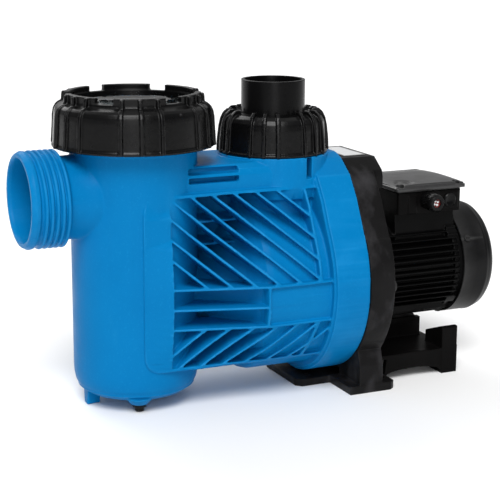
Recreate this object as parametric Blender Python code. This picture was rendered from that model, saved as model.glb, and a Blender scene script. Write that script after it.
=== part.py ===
"""Self-priming pool pump with strainer pot, built as separate solids that fit together.

Lengths in the constants and the profiles are millimetres; meshes are made in metres.
+X runs from the suction mouth to the motor's fan end, +Z is up, and the floor is z = 0.
Round parts are turned profiles, castings are prisms and lofts joined by Booleans.
"""

from math import cos, hypot, pi, radians, sin

import bmesh
import bpy
from mathutils import Matrix, Vector

MM = 0.001
GAP = 0.3

# Driving sizes
LENGTH = 590
MOUTH_X = -LENGTH / 2
FAN_END_X = LENGTH / 2
SHAFT_Z = 132
POT_X = -160
POT_R = 72.7
POT_BORE = 66
POT_NECK_R = 82
DRAIN_X = POT_X - 15
DRAIN_Y = -50
POT_TOP = 340
SUCTION_Z = 246
SUCTION_R = 51.4
SUCTION_BORE = 46.5
THREAD_CREST = 3.8
THREAD_START = -251
THREAD_TURNS = 5
THREAD_PITCH = 6.4
DISCHARGE_X = 15.7
NECK_TOP = 312
PIPE_R = 37.7
PIPE_BORE = 33.8
STUB_TOP = 368.6
NUT_R = 63.5
NUT_BASE = 283.9
COLLAR_R = 90
COLLAR_BASE = 301.4
GRIP_GROUPS = 6

# Volute, rim and bell
RIM_R = 120
RIM_FRONT = 43
RIM_REAR = 86
SHOULDER = [(105.5, 57.5), (95.5, 76), (82.2, 103), (64.1, 128.4), (41.2, 145), (28, 150)]
CAGE_INSET = 6
CAGE_LOW = 50
CAGE_HIGH = 251
CAGE_LEFT = -144
CAGE_KINK = -38
CAGE_RIGHT = 27
RIB = 3.4
RIB_SLOPE = 0.86
RIB_PITCH = 23
SADDLE_LOW = 246
SADDLE_HALF = 52
VOLUTE_R = 106
EYE_R = 30
CHAMBER_R = 86
COVER_R = 96
BELL_FRONT = RIM_REAR + GAP
BELL_REAR = 118
BELL_R = 122
BELL_TOP = 276
BOLT_CIRCLE = 109

# Motor
FRAME_FRONT = 112
FRAME_REAR = 245
FRAME_R = 60
FIN_R = 68.5
STATOR_R = 54
FAN_COVER_FRONT = 247.3
FAN_COVER_R = 69.9
BOX_LEFT = 158
BOX_RIGHT = 247
BOX_HALF = 55
BOX_BASE = 203
BOX_TOP = 230
GLAND_X = 199
GLAND_Z = 218.7
PLUG_X = 230
PLUG_Z = 217.5

BLUE = ((0.02, 0.23, 0.66), 0.42, 0)
BLACK = ((0.02, 0.02, 0.022), 0.5, 0)
RUBBER = ((0.015, 0.015, 0.015), 0.8, 0)
STEEL = ((0.62, 0.63, 0.65), 0.3, 1)
PAINT = ((0.012, 0.012, 0.014), 0.35, 0)
WHITE = ((0.86, 0.87, 0.88), 0.5, 0)
CLEAR = ((0.72, 0.8, 0.84), 0.08, 0)
GLASS_FILLED = ((0.12, 0.12, 0.13), 0.45, 0)
CARBON = ((0.05, 0.05, 0.055), 0.4, 0)
CERAMIC = ((0.85, 0.84, 0.8), 0.25, 0)
LABEL = ((0.8, 0.8, 0.8), 0.4, 0)
COPPER = ((0.5, 0.2, 0.08), 0.35, 1)
PHENOLIC = ((0.12, 0.05, 0.02), 0.5, 0)
RED_RUBBER = ((0.3, 0.05, 0.04), 0.7, 0)


def clear_scene():
    for item in list(bpy.data.objects):
        bpy.data.objects.remove(item, do_unlink=True)


def material(name, look):
    colour, roughness, metallic = look
    found = bpy.data.materials.get(name)
    if found:
        return found
    made = bpy.data.materials.new(name)
    made.use_nodes = True
    shader = made.node_tree.nodes["Principled BSDF"]
    shader.inputs["Base Color"].default_value = (*colour, 1)
    shader.inputs["Roughness"].default_value = roughness
    shader.inputs["Metallic"].default_value = metallic
    return made


def solid(points, faces):
    """A temporary object from points in millimetres and faces, with normals facing out."""
    mesh = bpy.data.meshes.new("shape")
    mesh.from_pydata([Vector(p) * MM for p in points], [], faces)
    shape = bmesh.new()
    shape.from_mesh(mesh)
    bmesh.ops.recalc_face_normals(shape, faces=shape.faces)
    bmesh.ops.connect_verts_nonplanar(shape, angle_limit=radians(0.5), faces=shape.faces)
    shape.to_mesh(mesh)
    shape.free()
    item = bpy.data.objects.new("shape", mesh)
    bpy.context.collection.objects.link(item)
    return item


def along(axis, centre, r, angle, h):
    """The point at radius r, angle and height h about an axis through centre."""
    a, b = r * cos(angle), r * sin(angle)
    x, y, z = centre
    if axis == "X":
        return (h, y + a, z + b)
    if axis == "Y":
        return (x + b, h, z + a)
    return (x + a, y + b, h)


def turned(profile, centre=(0, 0, 0), axis="Z", steps=40):
    """Turn a closed profile of (radius, height) points about an axis."""
    points, rings = [], []
    for r, h in profile:
        count = steps if r > 0 else 1
        rings.append(list(range(len(points), len(points) + count)))
        points += [along(axis, centre, r, 2 * pi * i / steps, h) for i in range(count)]
    faces = []
    for lower, upper in zip(rings, rings[1:] + rings[:1]):
        for i in range(steps):
            corners = [lower[i % len(lower)], lower[(i + 1) % len(lower)],
                       upper[(i + 1) % len(upper)], upper[i % len(upper)]]
            unique = list(dict.fromkeys(corners))
            if len(unique) > 2:
                faces.append(unique)
    return solid(points, faces)


def cylinder(r, low, high, centre=(0, 0, 0), axis="Z", steps=32):
    return turned([(0, low), (r, low), (r, high), (0, high)], centre, axis, steps)


def tube(outer, inner, low, high, centre=(0, 0, 0), axis="Z", steps=40):
    profile = [(inner, low), (outer, low), (outer, high), (inner, high)]
    return turned(profile, centre, axis, steps)


def loft(sections):
    """Join equal loops of points, closing the first and the last with a face."""
    count = len(sections[0])
    points = [p for section in sections for p in section]
    faces = [list(range(count)), list(range(len(points) - count, len(points)))]
    for s in range(len(sections) - 1):
        for i in range(count):
            j = (i + 1) % count
            low = s * count
            faces.append([low + i, low + j, low + count + j, low + count + i])
    return solid(points, faces)


def prism(outline, low, high, axis="X"):
    """Extrude an outline: (y, z) pairs along X, (x, z) pairs along Y, (x, y) pairs along Z."""
    place = {"X": lambda a, b, h: (h, a, b), "Y": lambda a, b, h: (a, h, b), "Z": lambda a, b, h: (a, b, h)}
    return loft([[place[axis](a, b, h) for a, b in outline] for h in (low, high)])


def box(low, high):
    (x0, y0, z0), (x1, y1, z1) = low, high
    return prism([(x0, y0), (x1, y0), (x1, y1), (x0, y1)], z0, z1, "Z")


def is_closed(mesh):
    shape = bmesh.new()
    shape.from_mesh(mesh)
    closed = all(len(edge.link_faces) == 2 for edge in shape.edges)
    shape.free()
    return closed


def tidied(mesh):
    """Merge the flat slivers that a Boolean leaves, if the shape stays closed."""
    shape = bmesh.new()
    shape.from_mesh(mesh)
    bmesh.ops.dissolve_limit(shape, angle_limit=radians(0.05), verts=shape.verts, edges=shape.edges)
    bmesh.ops.triangulate(shape, faces=shape.faces)
    lighter = bpy.data.meshes.new("shape")
    shape.to_mesh(lighter)
    shape.free()
    return lighter if is_closed(lighter) else mesh


def boolean(target, tool, operation):
    """Combine two closed shapes, with the MANIFOLD solver where EXACT leaves an open edge."""
    for solver in ("EXACT", "MANIFOLD"):
        modifier = target.modifiers.new(operation, "BOOLEAN")
        modifier.object = tool
        modifier.operation = operation
        modifier.solver = solver
        view = bpy.context.evaluated_depsgraph_get()
        result = bpy.data.meshes.new_from_object(target.evaluated_get(view))
        target.modifiers.clear()
        if is_closed(result):
            break
    target.data = tidied(result)
    bpy.data.objects.remove(tool, do_unlink=True)
    return target


def joined(target, *tools):
    for tool in tools:
        boolean(target, tool, "UNION")
    return target


def cut(target, *tools):
    for tool in tools:
        boolean(target, tool, "DIFFERENCE")
    return target


def piece(name, item, look, material_name, origin=(0, 0, 0), parent=None, sharp=32):
    """Name a finished shape, put its origin on its joint's axis and give it its material."""
    item.name = name
    item.data.name = name
    offset = Vector(origin) * MM
    item.data.transform(Matrix.Translation(-offset))
    item.location = offset
    item.data.materials.clear()
    item.data.materials.append(material(material_name, look))
    item.data.shade_smooth()
    item.data.set_sharp_from_angle(angle=radians(sharp))
    if parent:
        item.parent = parent
        item.matrix_parent_inverse = parent.matrix_basis.inverted()
    return item


def axis_empty(name, position):
    empty = bpy.data.objects.new(name, None)
    empty.location = Vector(position) * MM
    empty.empty_display_size = 0.02
    bpy.context.collection.objects.link(empty)
    return empty


def rim_outline(inset=0, radius=RIM_R, steps=10):
    """Rim of the volute as (y, z): a circle below, straight shoulders rising to a flat top."""
    start, end = radians(-90), radians(28)
    right = [((radius - inset) * cos(a), (radius - inset) * sin(a))
             for a in (start + (end - start) * k / steps for k in range(steps + 1))]
    for y, z in SHOULDER:
        scale = 1 - inset / hypot(y, z)
        right.append((y * scale, z * scale))
    left = [(-y, z) for y, z in reversed(right[1:])]
    return [(y, SHAFT_Z + z) for y, z in right + left]


def on_rectangle(y, z, half_width, half_height, middle):
    """The point of a rectangle in the direction of (y, z) from its middle."""
    rise = z - middle
    reach = max(abs(y) / half_width, abs(rise) / half_height)
    return y / reach, middle + rise / reach


def cage_envelope():
    """Outer shape of the ribbed body: flush with the pot, widening to the rim."""
    rim = rim_outline(CAGE_INSET)
    side = [on_rectangle(y, z, POT_R - 1, 118, SHAFT_Z + 16) for y, z in rim]
    stations = [(POT_X - 12, side), (CAGE_KINK, rim), (RIM_FRONT + 3, rim)]
    envelope = loft([[(x, y, z) for y, z in section] for x, section in stations])
    window = box((POT_X - 20, -140, CAGE_LOW), (RIM_FRONT + 2, 140, CAGE_HIGH))
    return boolean(envelope, window, "INTERSECT")


def sloping_rib(x, z, slope, low, high):
    """A slab through (x, z) with the given slope, kept between two heights."""
    half = RIB / 2 * hypot(1, slope)
    ends = [(x + (h - z) / slope, h) for h in (low, high)]
    (xa, za), (xb, zb) = ends
    outline = [(xa, za - half), (xb, zb - half), (xb, zb + half), (xa, za + half)]
    return prism(outline, -140, 140, "Y")


def cage_ribs():
    """Falling ribs above, level ribs in the middle and rising ribs below."""
    mid_high, mid_low = SHAFT_Z + 15, SHAFT_Z - 32
    bars = [box((CAGE_LEFT - 30, -140, CAGE_LOW), (CAGE_LEFT, 140, CAGE_HIGH))]
    bars.append(box((CAGE_LEFT - 1, -140, CAGE_HIGH - 5), (RIM_FRONT + 2, 140, CAGE_HIGH)))
    bars.append(box((CAGE_LEFT - 1, -140, CAGE_LOW), (RIM_FRONT + 2, 140, CAGE_LOW + 4)))
    for height in (mid_high, (mid_high + mid_low) / 2, mid_low):
        bars.append(box((CAGE_LEFT - 1, -140, height - RIB / 2), (CAGE_KINK, 140, height + RIB / 2)))
    bars.append(box((CAGE_KINK - 1, -140, mid_low - RIB / 2), (RIM_FRONT + 2, 140, mid_high + RIB / 2)))
    bars.append(box((CAGE_RIGHT - RIB, -140, mid_high), (CAGE_RIGHT, 140, CAGE_HIGH - 1)))
    bars.append(box((CAGE_RIGHT - RIB, -140, CAGE_LOW + 1), (CAGE_RIGHT, 140, mid_low)))
    for k in range(-3, 6):
        z = SHAFT_Z + 117 + RIB_PITCH * k
        bars.append(sloping_rib(CAGE_LEFT, z, -RIB_SLOPE, mid_high, CAGE_HIGH - 2))
    for k in range(7):
        x = POT_X + 52.6 + k * RIB_PITCH / RIB_SLOPE
        bars.append(sloping_rib(x, mid_low, RIB_SLOPE, CAGE_LOW + 2, mid_low))
    lattice = joined(bars[0], *bars[1:])
    window = box((CAGE_LEFT - 30, -140, CAGE_LOW), (RIM_FRONT + 2, 140, CAGE_HIGH))
    return boolean(lattice, window, "INTERSECT")


def pot_shape(clearance=0):
    """Outer shape of the strainer pot and its threaded neck, or the space it needs."""
    outline = [(60, 14), (69, 20), (POT_R, 34), (POT_R, 283), (POT_NECK_R, 296), (POT_NECK_R, POT_TOP)]
    grown = [(r + clearance, z) for r, z in outline]
    return turned([(0, 14)] + grown + [(0, POT_TOP)], (POT_X, 0, 0), "Z", 32)


def threaded_port(axis):
    """Suction port: plain lip, five thread crests, then a waist that flares into the pot."""
    profile = [(0, POT_X), (51, POT_X), (50, -218), (47, -234), (47, -247), (SUCTION_R, THREAD_START + 1)]
    for k in range(THREAD_TURNS):
        base = THREAD_START - THREAD_PITCH * k
        profile += [(SUCTION_R, base), (SUCTION_R + THREAD_CREST, base - THREAD_PITCH * 0.4)]
    lip = SUCTION_R + THREAD_CREST
    profile += [(SUCTION_R, MOUTH_X + 11), (lip, MOUTH_X + 10), (lip, MOUTH_X + 5),
                (lip - 2.8, MOUTH_X), (0, MOUTH_X)]
    return turned(profile, axis, "X", 28)


def strainer_pot():
    """Pot with its threaded neck, suction port, small feet and drain boss."""
    port_axis, shaft_axis = (0, 0, SUCTION_Z), (0, 0, SHAFT_Z)
    drain_axis = (DRAIN_X, DRAIN_Y, 0)
    feet = [pot_foot(radians(a)) for a in (180, 108, 40)]
    boss = turned([(0, 9.5), (9, 9.5), (15, 16), (0, 16)], drain_axis, "Z", 20)
    body = joined(pot_shape(), threaded_port(port_axis), boss, *feet)
    basin = turned([(0, 21), (63.5, 21), (POT_BORE, 23.5), (POT_BORE, 326), (70, 326), (70, POT_TOP + 5),
                    (0, POT_TOP + 5)], (POT_X, 0, 0), "Z", 32)
    mouth = cylinder(SUCTION_BORE, MOUTH_X - 5, POT_X, port_axis, "X", 28)
    eye = cylinder(EYE_R, POT_X, POT_X + POT_R + 5, shaft_axis, "X", 16)
    drain = cylinder(4.6, 5, 30, drain_axis, "Z", 16)
    cut(body, basin, mouth, eye, drain)
    return piece("strainer_pot", body, BLUE, "blue_plastic")


def pot_foot(angle):
    """A short foot on the pot's lower edge, wider at its top."""
    sections = []
    for z, spread in ((0, 0.09), (18, 0.14)):
        corners = ((-1, -spread), (1, -spread), (1, spread), (-1, spread))
        sections.append([(POT_X + (55 + 8 * d) * cos(angle + w), (55 + 8 * d) * sin(angle + w), z)
                         for d, w in corners])
    return loft(sections)


def saddle_shape(clearance=0):
    """Web between the pot and the discharge neck."""
    low = SADDLE_LOW - clearance
    outline = [(POT_X, low), (RIM_FRONT + 5, low), (RIM_FRONT + 5, 275), (-60, 275), (-100, 290),
               (POT_X, 290)]
    return prism(outline, -SADDLE_HALF - clearance, SADDLE_HALF + clearance, "Y")


def neck_shape(clearance=0):
    outline = [(62, 235), (66, 262), (66, 283.5), (57, 283.5), (57, NECK_TOP)]
    grown = [(r + clearance, z) for r, z in outline]
    return turned([(0, 235)] + grown + [(0, NECK_TOP)], (DISCHARGE_X, 0, 0), "Z", 28)


def volute_shape(clearance=0):
    outline = [(88, -44 - clearance), (VOLUTE_R + clearance, -34), (VOLUTE_R + clearance, 60)]
    return turned([(0, -44 - clearance)] + outline + [(0, 60)], (0, 0, SHAFT_Z), "X", 28)


def throat_shape(clearance=0):
    """Inlet passage from the pot, flaring into the impeller chamber's front wall."""
    outline = [(EYE_R + 8, POT_X), (EYE_R + 8, -88), (90, -40 - clearance)]
    grown = [(r + clearance, x) for r, x in outline]
    return turned([(0, POT_X)] + grown + [(90 + clearance, -40), (0, -40)], (0, 0, SHAFT_Z), "X", 20)


def volute_casing():
    """Impeller chamber, throat to the pot, rim and discharge neck."""
    shaft_axis = (0, 0, SHAFT_Z)
    rim = prism(rim_outline(), RIM_FRONT, RIM_REAR, "X")
    body = joined(volute_shape(), throat_shape(), rim, saddle_shape(), neck_shape())
    eye = cylinder(EYE_R, POT_X, -10, shaft_axis, "X", 16)
    chamber = turned([(0, -14), (CHAMBER_R, -14), (CHAMBER_R, 75.4), (COVER_R + GAP, 75.4),
                      (COVER_R + GAP, RIM_REAR + 5), (0, RIM_REAR + 5)], shaft_axis, "X", 24)
    outlet = cylinder(PIPE_BORE, 190, NECK_TOP + 5, (DISCHARGE_X, 0, 0), "Z", 24)
    cut(body, pot_shape(GAP), eye, chamber, outlet)
    for y, z in bolt_places():
        cut(body, cylinder(4.3, 60, RIM_REAR + 5, (0, y, z), "X", 8))
    return piece("volute_casing", body, BLUE, "blue_plastic")


def rib_panel(name, side):
    """Ribbed side wall: deep plates between the outer surface and the volute."""
    panel = boolean(cage_ribs(), cage_envelope(), "INTERSECT")
    inner, outer = sorted((side * (SADDLE_HALF + GAP), side * 140))
    half = box((CAGE_LEFT - 12, inner, CAGE_LOW - 1), (RIM_FRONT - GAP, outer, CAGE_HIGH + 1))
    boolean(panel, half, "INTERSECT")
    cut(panel, volute_shape(GAP), throat_shape(GAP), pot_shape(GAP), neck_shape(GAP))
    return piece(name, panel, BLUE, "blue_plastic")


def bolt_places():
    return [(BOLT_CIRCLE * cos(a), SHAFT_Z + BOLT_CIRCLE * sin(a))
            for a in (radians(60 * k) for k in range(6))]


def grip_angles(first, spacing):
    """Grip ribs stand in six groups of three."""
    return [radians(first + 60 * group + spacing * k) for group in range(GRIP_GROUPS) for k in (-1, 0, 1)]


def lock_ring(parent):
    """Threaded collar with a castellated crown that clamps the lid on the pot."""
    centre = (POT_X, 0, 0)
    base = COLLAR_BASE
    bead = COLLAR_R + 2.6
    ring = turned([(83.2, base), (bead, base), (bead, base + 3), (bead - 1.4, base + 4.6),
                   (COLLAR_R - 1, 340), (84.5, 348.4), (77.1, 352), (77.1, 355), (70, 355), (70, 347),
                   (83.2, 347)], centre, "Z", 30)
    for k in range(6):
        start = radians(-104 + 60 * k - 22)
        arc = [start + radians(44) * i / 4 for i in range(5)]
        outline = [(POT_X + 77.1 * cos(a), 77.1 * sin(a)) for a in arc]
        outline += [(POT_X + 70.5 * cos(a), 70.5 * sin(a)) for a in reversed(arc)]
        joined(ring, prism(outline, 353, 361.9, "Z"))
    for a in grip_angles(-104, 14.5):
        joined(ring, grip_rib(centre, a, COLLAR_R, 4.8, 2.2, COLLAR_BASE + 0.4, 345))
    return piece("lock_ring", ring, BLACK, "black_plastic", (POT_X, 0, COLLAR_BASE), parent)


def grip_rib(centre, angle, radius, height, half, low, high):
    """An upright rib on a collar, tapering to its top."""
    out, side = Vector((cos(angle), sin(angle), 0)), Vector((-sin(angle), cos(angle), 0))
    middle = Vector(centre)
    sections = []
    for z, reach, width in ((low, height, half), (high, height * 0.6, half * 0.8)):
        root, tip = middle + out * (radius - 2), middle + out * (radius + reach)
        crown = width * 0.8
        corners = [root - side * width, tip - side * crown, tip + side * crown, root + side * width]
        sections.append([(p.x, p.y, z) for p in corners])
    return loft(sections)


def pot_lid():
    centre = (POT_X, 0, 0)
    lid = turned([(0, 344), (60, 342.5), (66, 338), (66, 330), (69.4, 330), (69.4, POT_TOP + 2),
                  (81.5, POT_TOP + 2), (81.5, 346.5), (69.2, 346.5), (68, 350), (0, 353)], centre, "Z", 28)
    return piece("pot_lid", lid, CLEAR, "clear_lid", centre)


def lid_seal():
    ring = tube(77.5, 72.5, POT_TOP + GAP, POT_TOP + 1.7, (POT_X, 0, 0), "Z", 28)
    return piece("lid_o_ring", ring, RUBBER, "black_rubber")


def strainer_basket():
    """Slotted basket hanging by its flange in the pot, with a moulded bridge handle."""
    centre = (POT_X, 0, 0)
    shell = turned([(0, 152), (53, 152), (57.5, 326.4), (68.8, 326.4), (68.8, 329), (55.3, 329),
                    (51, 154.2), (0, 154.2)], centre, "Z", 24)
    for k in range(12):
        a = radians(30 * k + 15)
        if k in (5, 6):
            continue
        slot = box((40, -5, 165), (72, 5, 312))
        slot.data.transform(Matrix.Rotation(a, 4, "Z"))
        slot.data.transform(Matrix.Translation((POT_X * MM, 0, 0)))
        cut(shell, slot)
    inlet = cylinder(34, -235, -195, (0, 0, SUCTION_Z), "X", 16)
    cut(shell, inlet)
    bridge = [(-57, 324), (-40, 332), (40, 332), (57, 324), (57, 328), (40, 336), (-40, 336), (-57, 328)]
    handle = prism([(POT_X + x, z) for x, z in bridge], -5, 5, "Y")
    return piece("strainer_basket", joined(shell, handle), WHITE, "white_plastic", centre)


def union_set(parent):
    """Discharge union: threaded nut, pipe stub with a flange and a face seal."""
    centre = (DISCHARGE_X, 0, 0)
    nut = turned([(57.7, NUT_BASE), (NUT_R + 1.2, NUT_BASE), (NUT_R + 1.2, NUT_BASE + 3),
                  (NUT_R - 0.8, NUT_BASE + 4), (NUT_R - 2.5, 316), (60, 322), (57, 327), (50, 330),
                  (38.2, 330), (38.2, 322.4), (57.7, 322.4)], centre, "Z", 28)
    for a in grip_angles(-124.8, 15):
        joined(nut, grip_rib(centre, a, NUT_R - 1.5, 5, 1.9, NUT_BASE + 0.3, 328))
    stub = turned([(PIPE_BORE, NECK_TOP + 2), (56.5, NECK_TOP + 2), (56.5, 322), (PIPE_R, 322),
                   (PIPE_R, STUB_TOP - 0.8), (PIPE_R - 0.8, STUB_TOP), (PIPE_BORE, STUB_TOP)],
                  centre, "Z", 28)
    base = (DISCHARGE_X, 0, NUT_BASE)
    piece("discharge_union_nut", nut, BLACK, "black_plastic", base, parent)
    piece("discharge_stub", stub, BLACK, "black_plastic", centre)
    seal = tube(47.5, 42.5, NECK_TOP + GAP, NECK_TOP + 1.7, centre, "Z", 24)
    piece("union_o_ring", seal, RUBBER, "black_rubber")


def drain_plug():
    centre = (DRAIN_X, DRAIN_Y, 0)
    plug = turned([(0, 1), (5, 1), (5, 6), (8, 6), (8, 8.1), (4.2, 8.1), (4.2, 22), (0, 22)], centre, "Z", 16)
    piece("pot_drain_plug", plug, BLACK, "black_plastic", centre)
    seal = tube(7.6, 4.5, 8.4, 9.2, centre, "Z", 16)
    piece("drain_plug_seal", seal, RUBBER, "black_rubber")


def impeller(parent):
    """Closed impeller: two shrouds with six swept vanes and a hub on the shaft."""
    centre = (0, 0, SHAFT_Z)
    back = turned([(8.3, 30), (62, 34), (62, 37), (16, 37), (16, 44), (8.3, 44)], centre, "X", 24)
    front = turned([(26, 9), (28.5, 9), (30, 18), (62, 23), (62, 25.5), (27, 21)], centre, "X", 24)
    for k in range(6):
        sweep = [(24 + 37 * t, radians(60 * k + 70 * t)) for t in (0, 0.5, 1)]
        outer = [((r + 0.9) * cos(a), (r + 0.9) * sin(a)) for r, a in sweep]
        inner = [((r - 0.9) * cos(a + 0.05), (r - 0.9) * sin(a + 0.05)) for r, a in reversed(sweep)]
        outline = [(y, SHAFT_Z + z) for y, z in outer + inner]
        joined(back, prism(outline, 22, 35, "X"))
    wheel = joined(back, front)
    piece("impeller", wheel, GLASS_FILLED, "glass_filled_plastic", centre, parent)
    nut = turned([(0, 1), (5, 2), (8, 6), (10.5, 10), (10.5, 29.6), (6.2, 29.6), (6.2, 12), (0, 12)],
                 centre, "X", 6)
    piece("impeller_nut", nut, STEEL, "stainless_steel", centre, parent)


def seal_parts(parent):
    centre = (0, 0, SHAFT_Z)
    spring = coil(12.5, 1.1, 45.6, 54.5, 3.5)
    piece("seal_spring", spring, STEEL, "stainless_steel", centre, parent)
    head = turned([(8.3, 56), (15, 56), (15, 60), (13, 60), (13, 63.5), (8.3, 63.5)], centre, "X", 20)
    piece("seal_head", head, CARBON, "carbon", centre, parent)
    seat = turned([(9, 63.8), (13.5, 63.8), (13.5, 66), (17, 66), (17, 72.5), (9, 72.5)], centre, "X", 20)
    piece("seal_seat", seat, CERAMIC, "ceramic", centre)
    slinger = tube(16, 10.3, 89.5, 92.5, centre, "X", 16)
    piece("shaft_slinger", slinger, RUBBER, "black_rubber", centre, parent)


def coil(radius, wire, low, high, turns):
    """Compression spring about the shaft, swept from a helix."""
    steps = int(turns * 14)
    sides = 5
    sections = []
    for i in range(steps + 1):
        t = i / steps
        a = 2 * pi * turns * t
        h = low + (high - low) * t
        ring = []
        for k in range(sides):
            b = 2 * pi * k / sides
            r = radius + wire * cos(b)
            ring.append((h + wire * sin(b), r * cos(a), SHAFT_Z + r * sin(a)))
        sections.append(ring)
    return loft(sections)


def wet_end_fixed():
    """Guide ring round the impeller eye and the cover that carries the shaft seal."""
    centre = (0, 0, SHAFT_Z)
    guide = turned([(31, -13.6), (85.4, -13.6), (85.4, 8), (80, 8), (72, -6), (40, -6), (31, 7)],
                   centre, "X", 24)
    piece("guide_ring", guide, BLACK, "black_plastic")
    cover = turned([(10, 72.8), (17.4, 72.8), (17.4, 66), (24, 66), (24, 72), (60, 70), (80, 78),
                    (COVER_R, 78), (COVER_R, 85.8), (40, 85.8), (34, 80), (10, 80)], centre, "X", 24)
    piece("seal_cover", cover, BLACK, "black_plastic")
    seal = tube(95, 89, 75.7, 77.4, centre, "X", 24)
    piece("casing_o_ring", seal, RUBBER, "black_rubber")


def bell_outline():
    """Back of the bell: the rim's outline brought in under the flat top block."""
    rim = rim_outline(0, BELL_R)
    return [(y, min(z, SHAFT_Z + 134)) for y, z in rim if z < SHAFT_Z + 140]


def bell_housing():
    """Black bracket between volute and motor, standing on two wide feet and a front tongue."""
    centre = (0, 0, SHAFT_Z)
    disc = prism(bell_outline(), BELL_FRONT, BELL_REAR, "X")
    crown_outline = [(-64, 240), (64, 240), (64, 255), (61, 264), (42.3, BELL_TOP),
                     (-42.3, BELL_TOP), (-61, 264), (-64, 255)]
    crown = prism(crown_outline, BELL_FRONT, 130.8, "X")
    tongue = prism([(29, -40), (36, -47), (BELL_REAR, -47), (BELL_REAR, 47), (36, 47), (29, 40)], 0, 9, "Z")
    body = joined(disc, crown, tongue)
    for side in (-1, 1):
        inner, outer = sorted((side * 46, side * 100))
        foot = box((73.3, inner, 0), (135, outer, 10))
        joined(body, foot, box((BELL_FRONT, inner, 0), (BELL_REAR, outer, 62)))
        pocket_inner, pocket_outer = sorted((side * 62, side * 92))
        cut(body, box((100, pocket_inner, 16), (BELL_REAR + 1, pocket_outer, 34)))
    hollow = cylinder(100, 97, BELL_REAR + 2, centre, "X", 40)
    over_motor = cylinder(72, 97, 135, centre, "X", 40)
    shaft_hole = cylinder(36, 80, 100, centre, "X", 32)
    cut(body, hollow, over_motor, shaft_hole)
    for k in range(6):
        a = radians(30 + 60 * k)
        web = box((94, 70.6, -3), (BELL_REAR - 3, 101, 3))
        web.data.transform(Matrix.Translation((0, 0, SHAFT_Z * MM)) @ Matrix.Rotation(a, 4, "X"))
        joined(body, web)
    for y, z in bolt_places():
        cut(body, cylinder(4.3, 80, BELL_REAR + 5, (0, y, z), "X", 10))
    for y in (-38, 38):
        cut(body, cylinder(3.3, 99, BELL_REAR + 5, (0, y, 22), "X", 10))
    return piece("bell_housing", body, BLACK, "black_plastic")


def label_plate():
    """Blank label on the bell's flat top."""
    plate = box((94, -33, BELL_TOP + GAP), (124, 33, BELL_TOP + 0.8))
    piece("label_plate", plate, LABEL, "white_label")


def hex_head(across, low, high, centre, axis):
    return cylinder(across / 2 / cos(pi / 6), low, high, centre, axis, 6)


def casing_bolts():
    for index, (y, z) in enumerate(bolt_places(), 1):
        centre = (0, y, z)
        shank = cylinder(3.9, 64, BELL_REAR + 1, centre, "X", 8)
        head = hex_head(13, BELL_REAR + GAP, BELL_REAR + 6, centre, "X")
        piece(f"casing_bolt_{index}", joined(shank, head), STEEL, "stainless_steel")


def motor_support():
    """Arched rear carrier with a central web under the motor and two cradle posts."""
    left, right = 127, 226
    shelf = box((left - 1.5, -69, 27), (right + 8, 69, 32))
    plate = box((BELL_REAR + GAP, -44, 12.5), (left, 44, 31.5))
    body = joined(shelf, plate)
    arch = [(BELL_REAR + 19, 5), (150, 10), (175, 12), (200, 11), (222, 6), (222, 28), (BELL_REAR + 19, 28)]
    for side in (-1, 1):
        low, high = sorted((side * 62, side * 69))
        inner, outer = sorted((side * 30, side * 71))
        post = [(side * 30, 0), (side * 71, 0), (side * 70, 58.5), (side * 66, 60),
                (side * 30, 46)]
        joined(body, prism(arch, low, high, "Y"), prism(post, 218, 240, "X"))
    web = box((132, -4, 30), (right, 4, 56))
    pad = box((150, -16, 54), (212, 16, 61.5))
    joined(body, web, pad)
    for y in (-38, 38):
        cut(body, cylinder(3.3, 110, 130, (0, y, 22), "X", 10))
    piece("motor_support", body, BLACK, "black_plastic")
    for index, y in enumerate((-38, 38), 1):
        centre = (0, y, 22)
        shank = cylinder(2.9, 101, left + 1, centre, "X", 10)
        head = hex_head(9, left + GAP, left + 5, centre, "X")
        piece(f"support_screw_{index}", joined(shank, head), STEEL, "stainless_steel")


def motor_frame():
    """Finned aluminium barrel with a flat pedestal for the terminal box."""
    centre = (0, 0, SHAFT_Z)
    barrel = cylinder(FRAME_R, FRAME_FRONT, FRAME_REAR, centre, "X", 40)
    for k in range(-4, 5):
        z = SHAFT_Z + 10.5 * k
        reach = (FIN_R ** 2 - (10.5 * k) ** 2) ** 0.5
        joined(barrel, box((FRAME_FRONT + 14, -reach, z - 1.1), (FRAME_REAR - 1, reach, z + 1.1)))
    for k in range(-3, 4):
        reach = (FIN_R ** 2 - (10.5 * k) ** 2) ** 0.5
        joined(barrel, box((FRAME_FRONT + 14, 10.5 * k - 1.1, SHAFT_Z - reach),
                           (FRAME_REAR - 1, 10.5 * k + 1.1, SHAFT_Z)))
    pedestal = prism([(-46, SHAFT_Z + 30), (46, SHAFT_Z + 30), (42, BOX_BASE - GAP), (-42, BOX_BASE - GAP)],
                     162, 243, "X")
    joined(barrel, pedestal)
    bore = turned([(0, FRAME_FRONT - 5), (57, FRAME_FRONT - 5), (57, 118), (STATOR_R + GAP, 118),
                   (STATOR_R + GAP, 232), (57, 232), (57, FRAME_REAR + 5), (0, FRAME_REAR + 5)],
                  centre, "X", 40)
    wire_way = box((185, -16, SHAFT_Z + 40), (215, 16, BOX_BASE + 5))
    cut(barrel, bore, wire_way)
    piece("motor_frame", barrel, PAINT, "black_paint")


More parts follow.
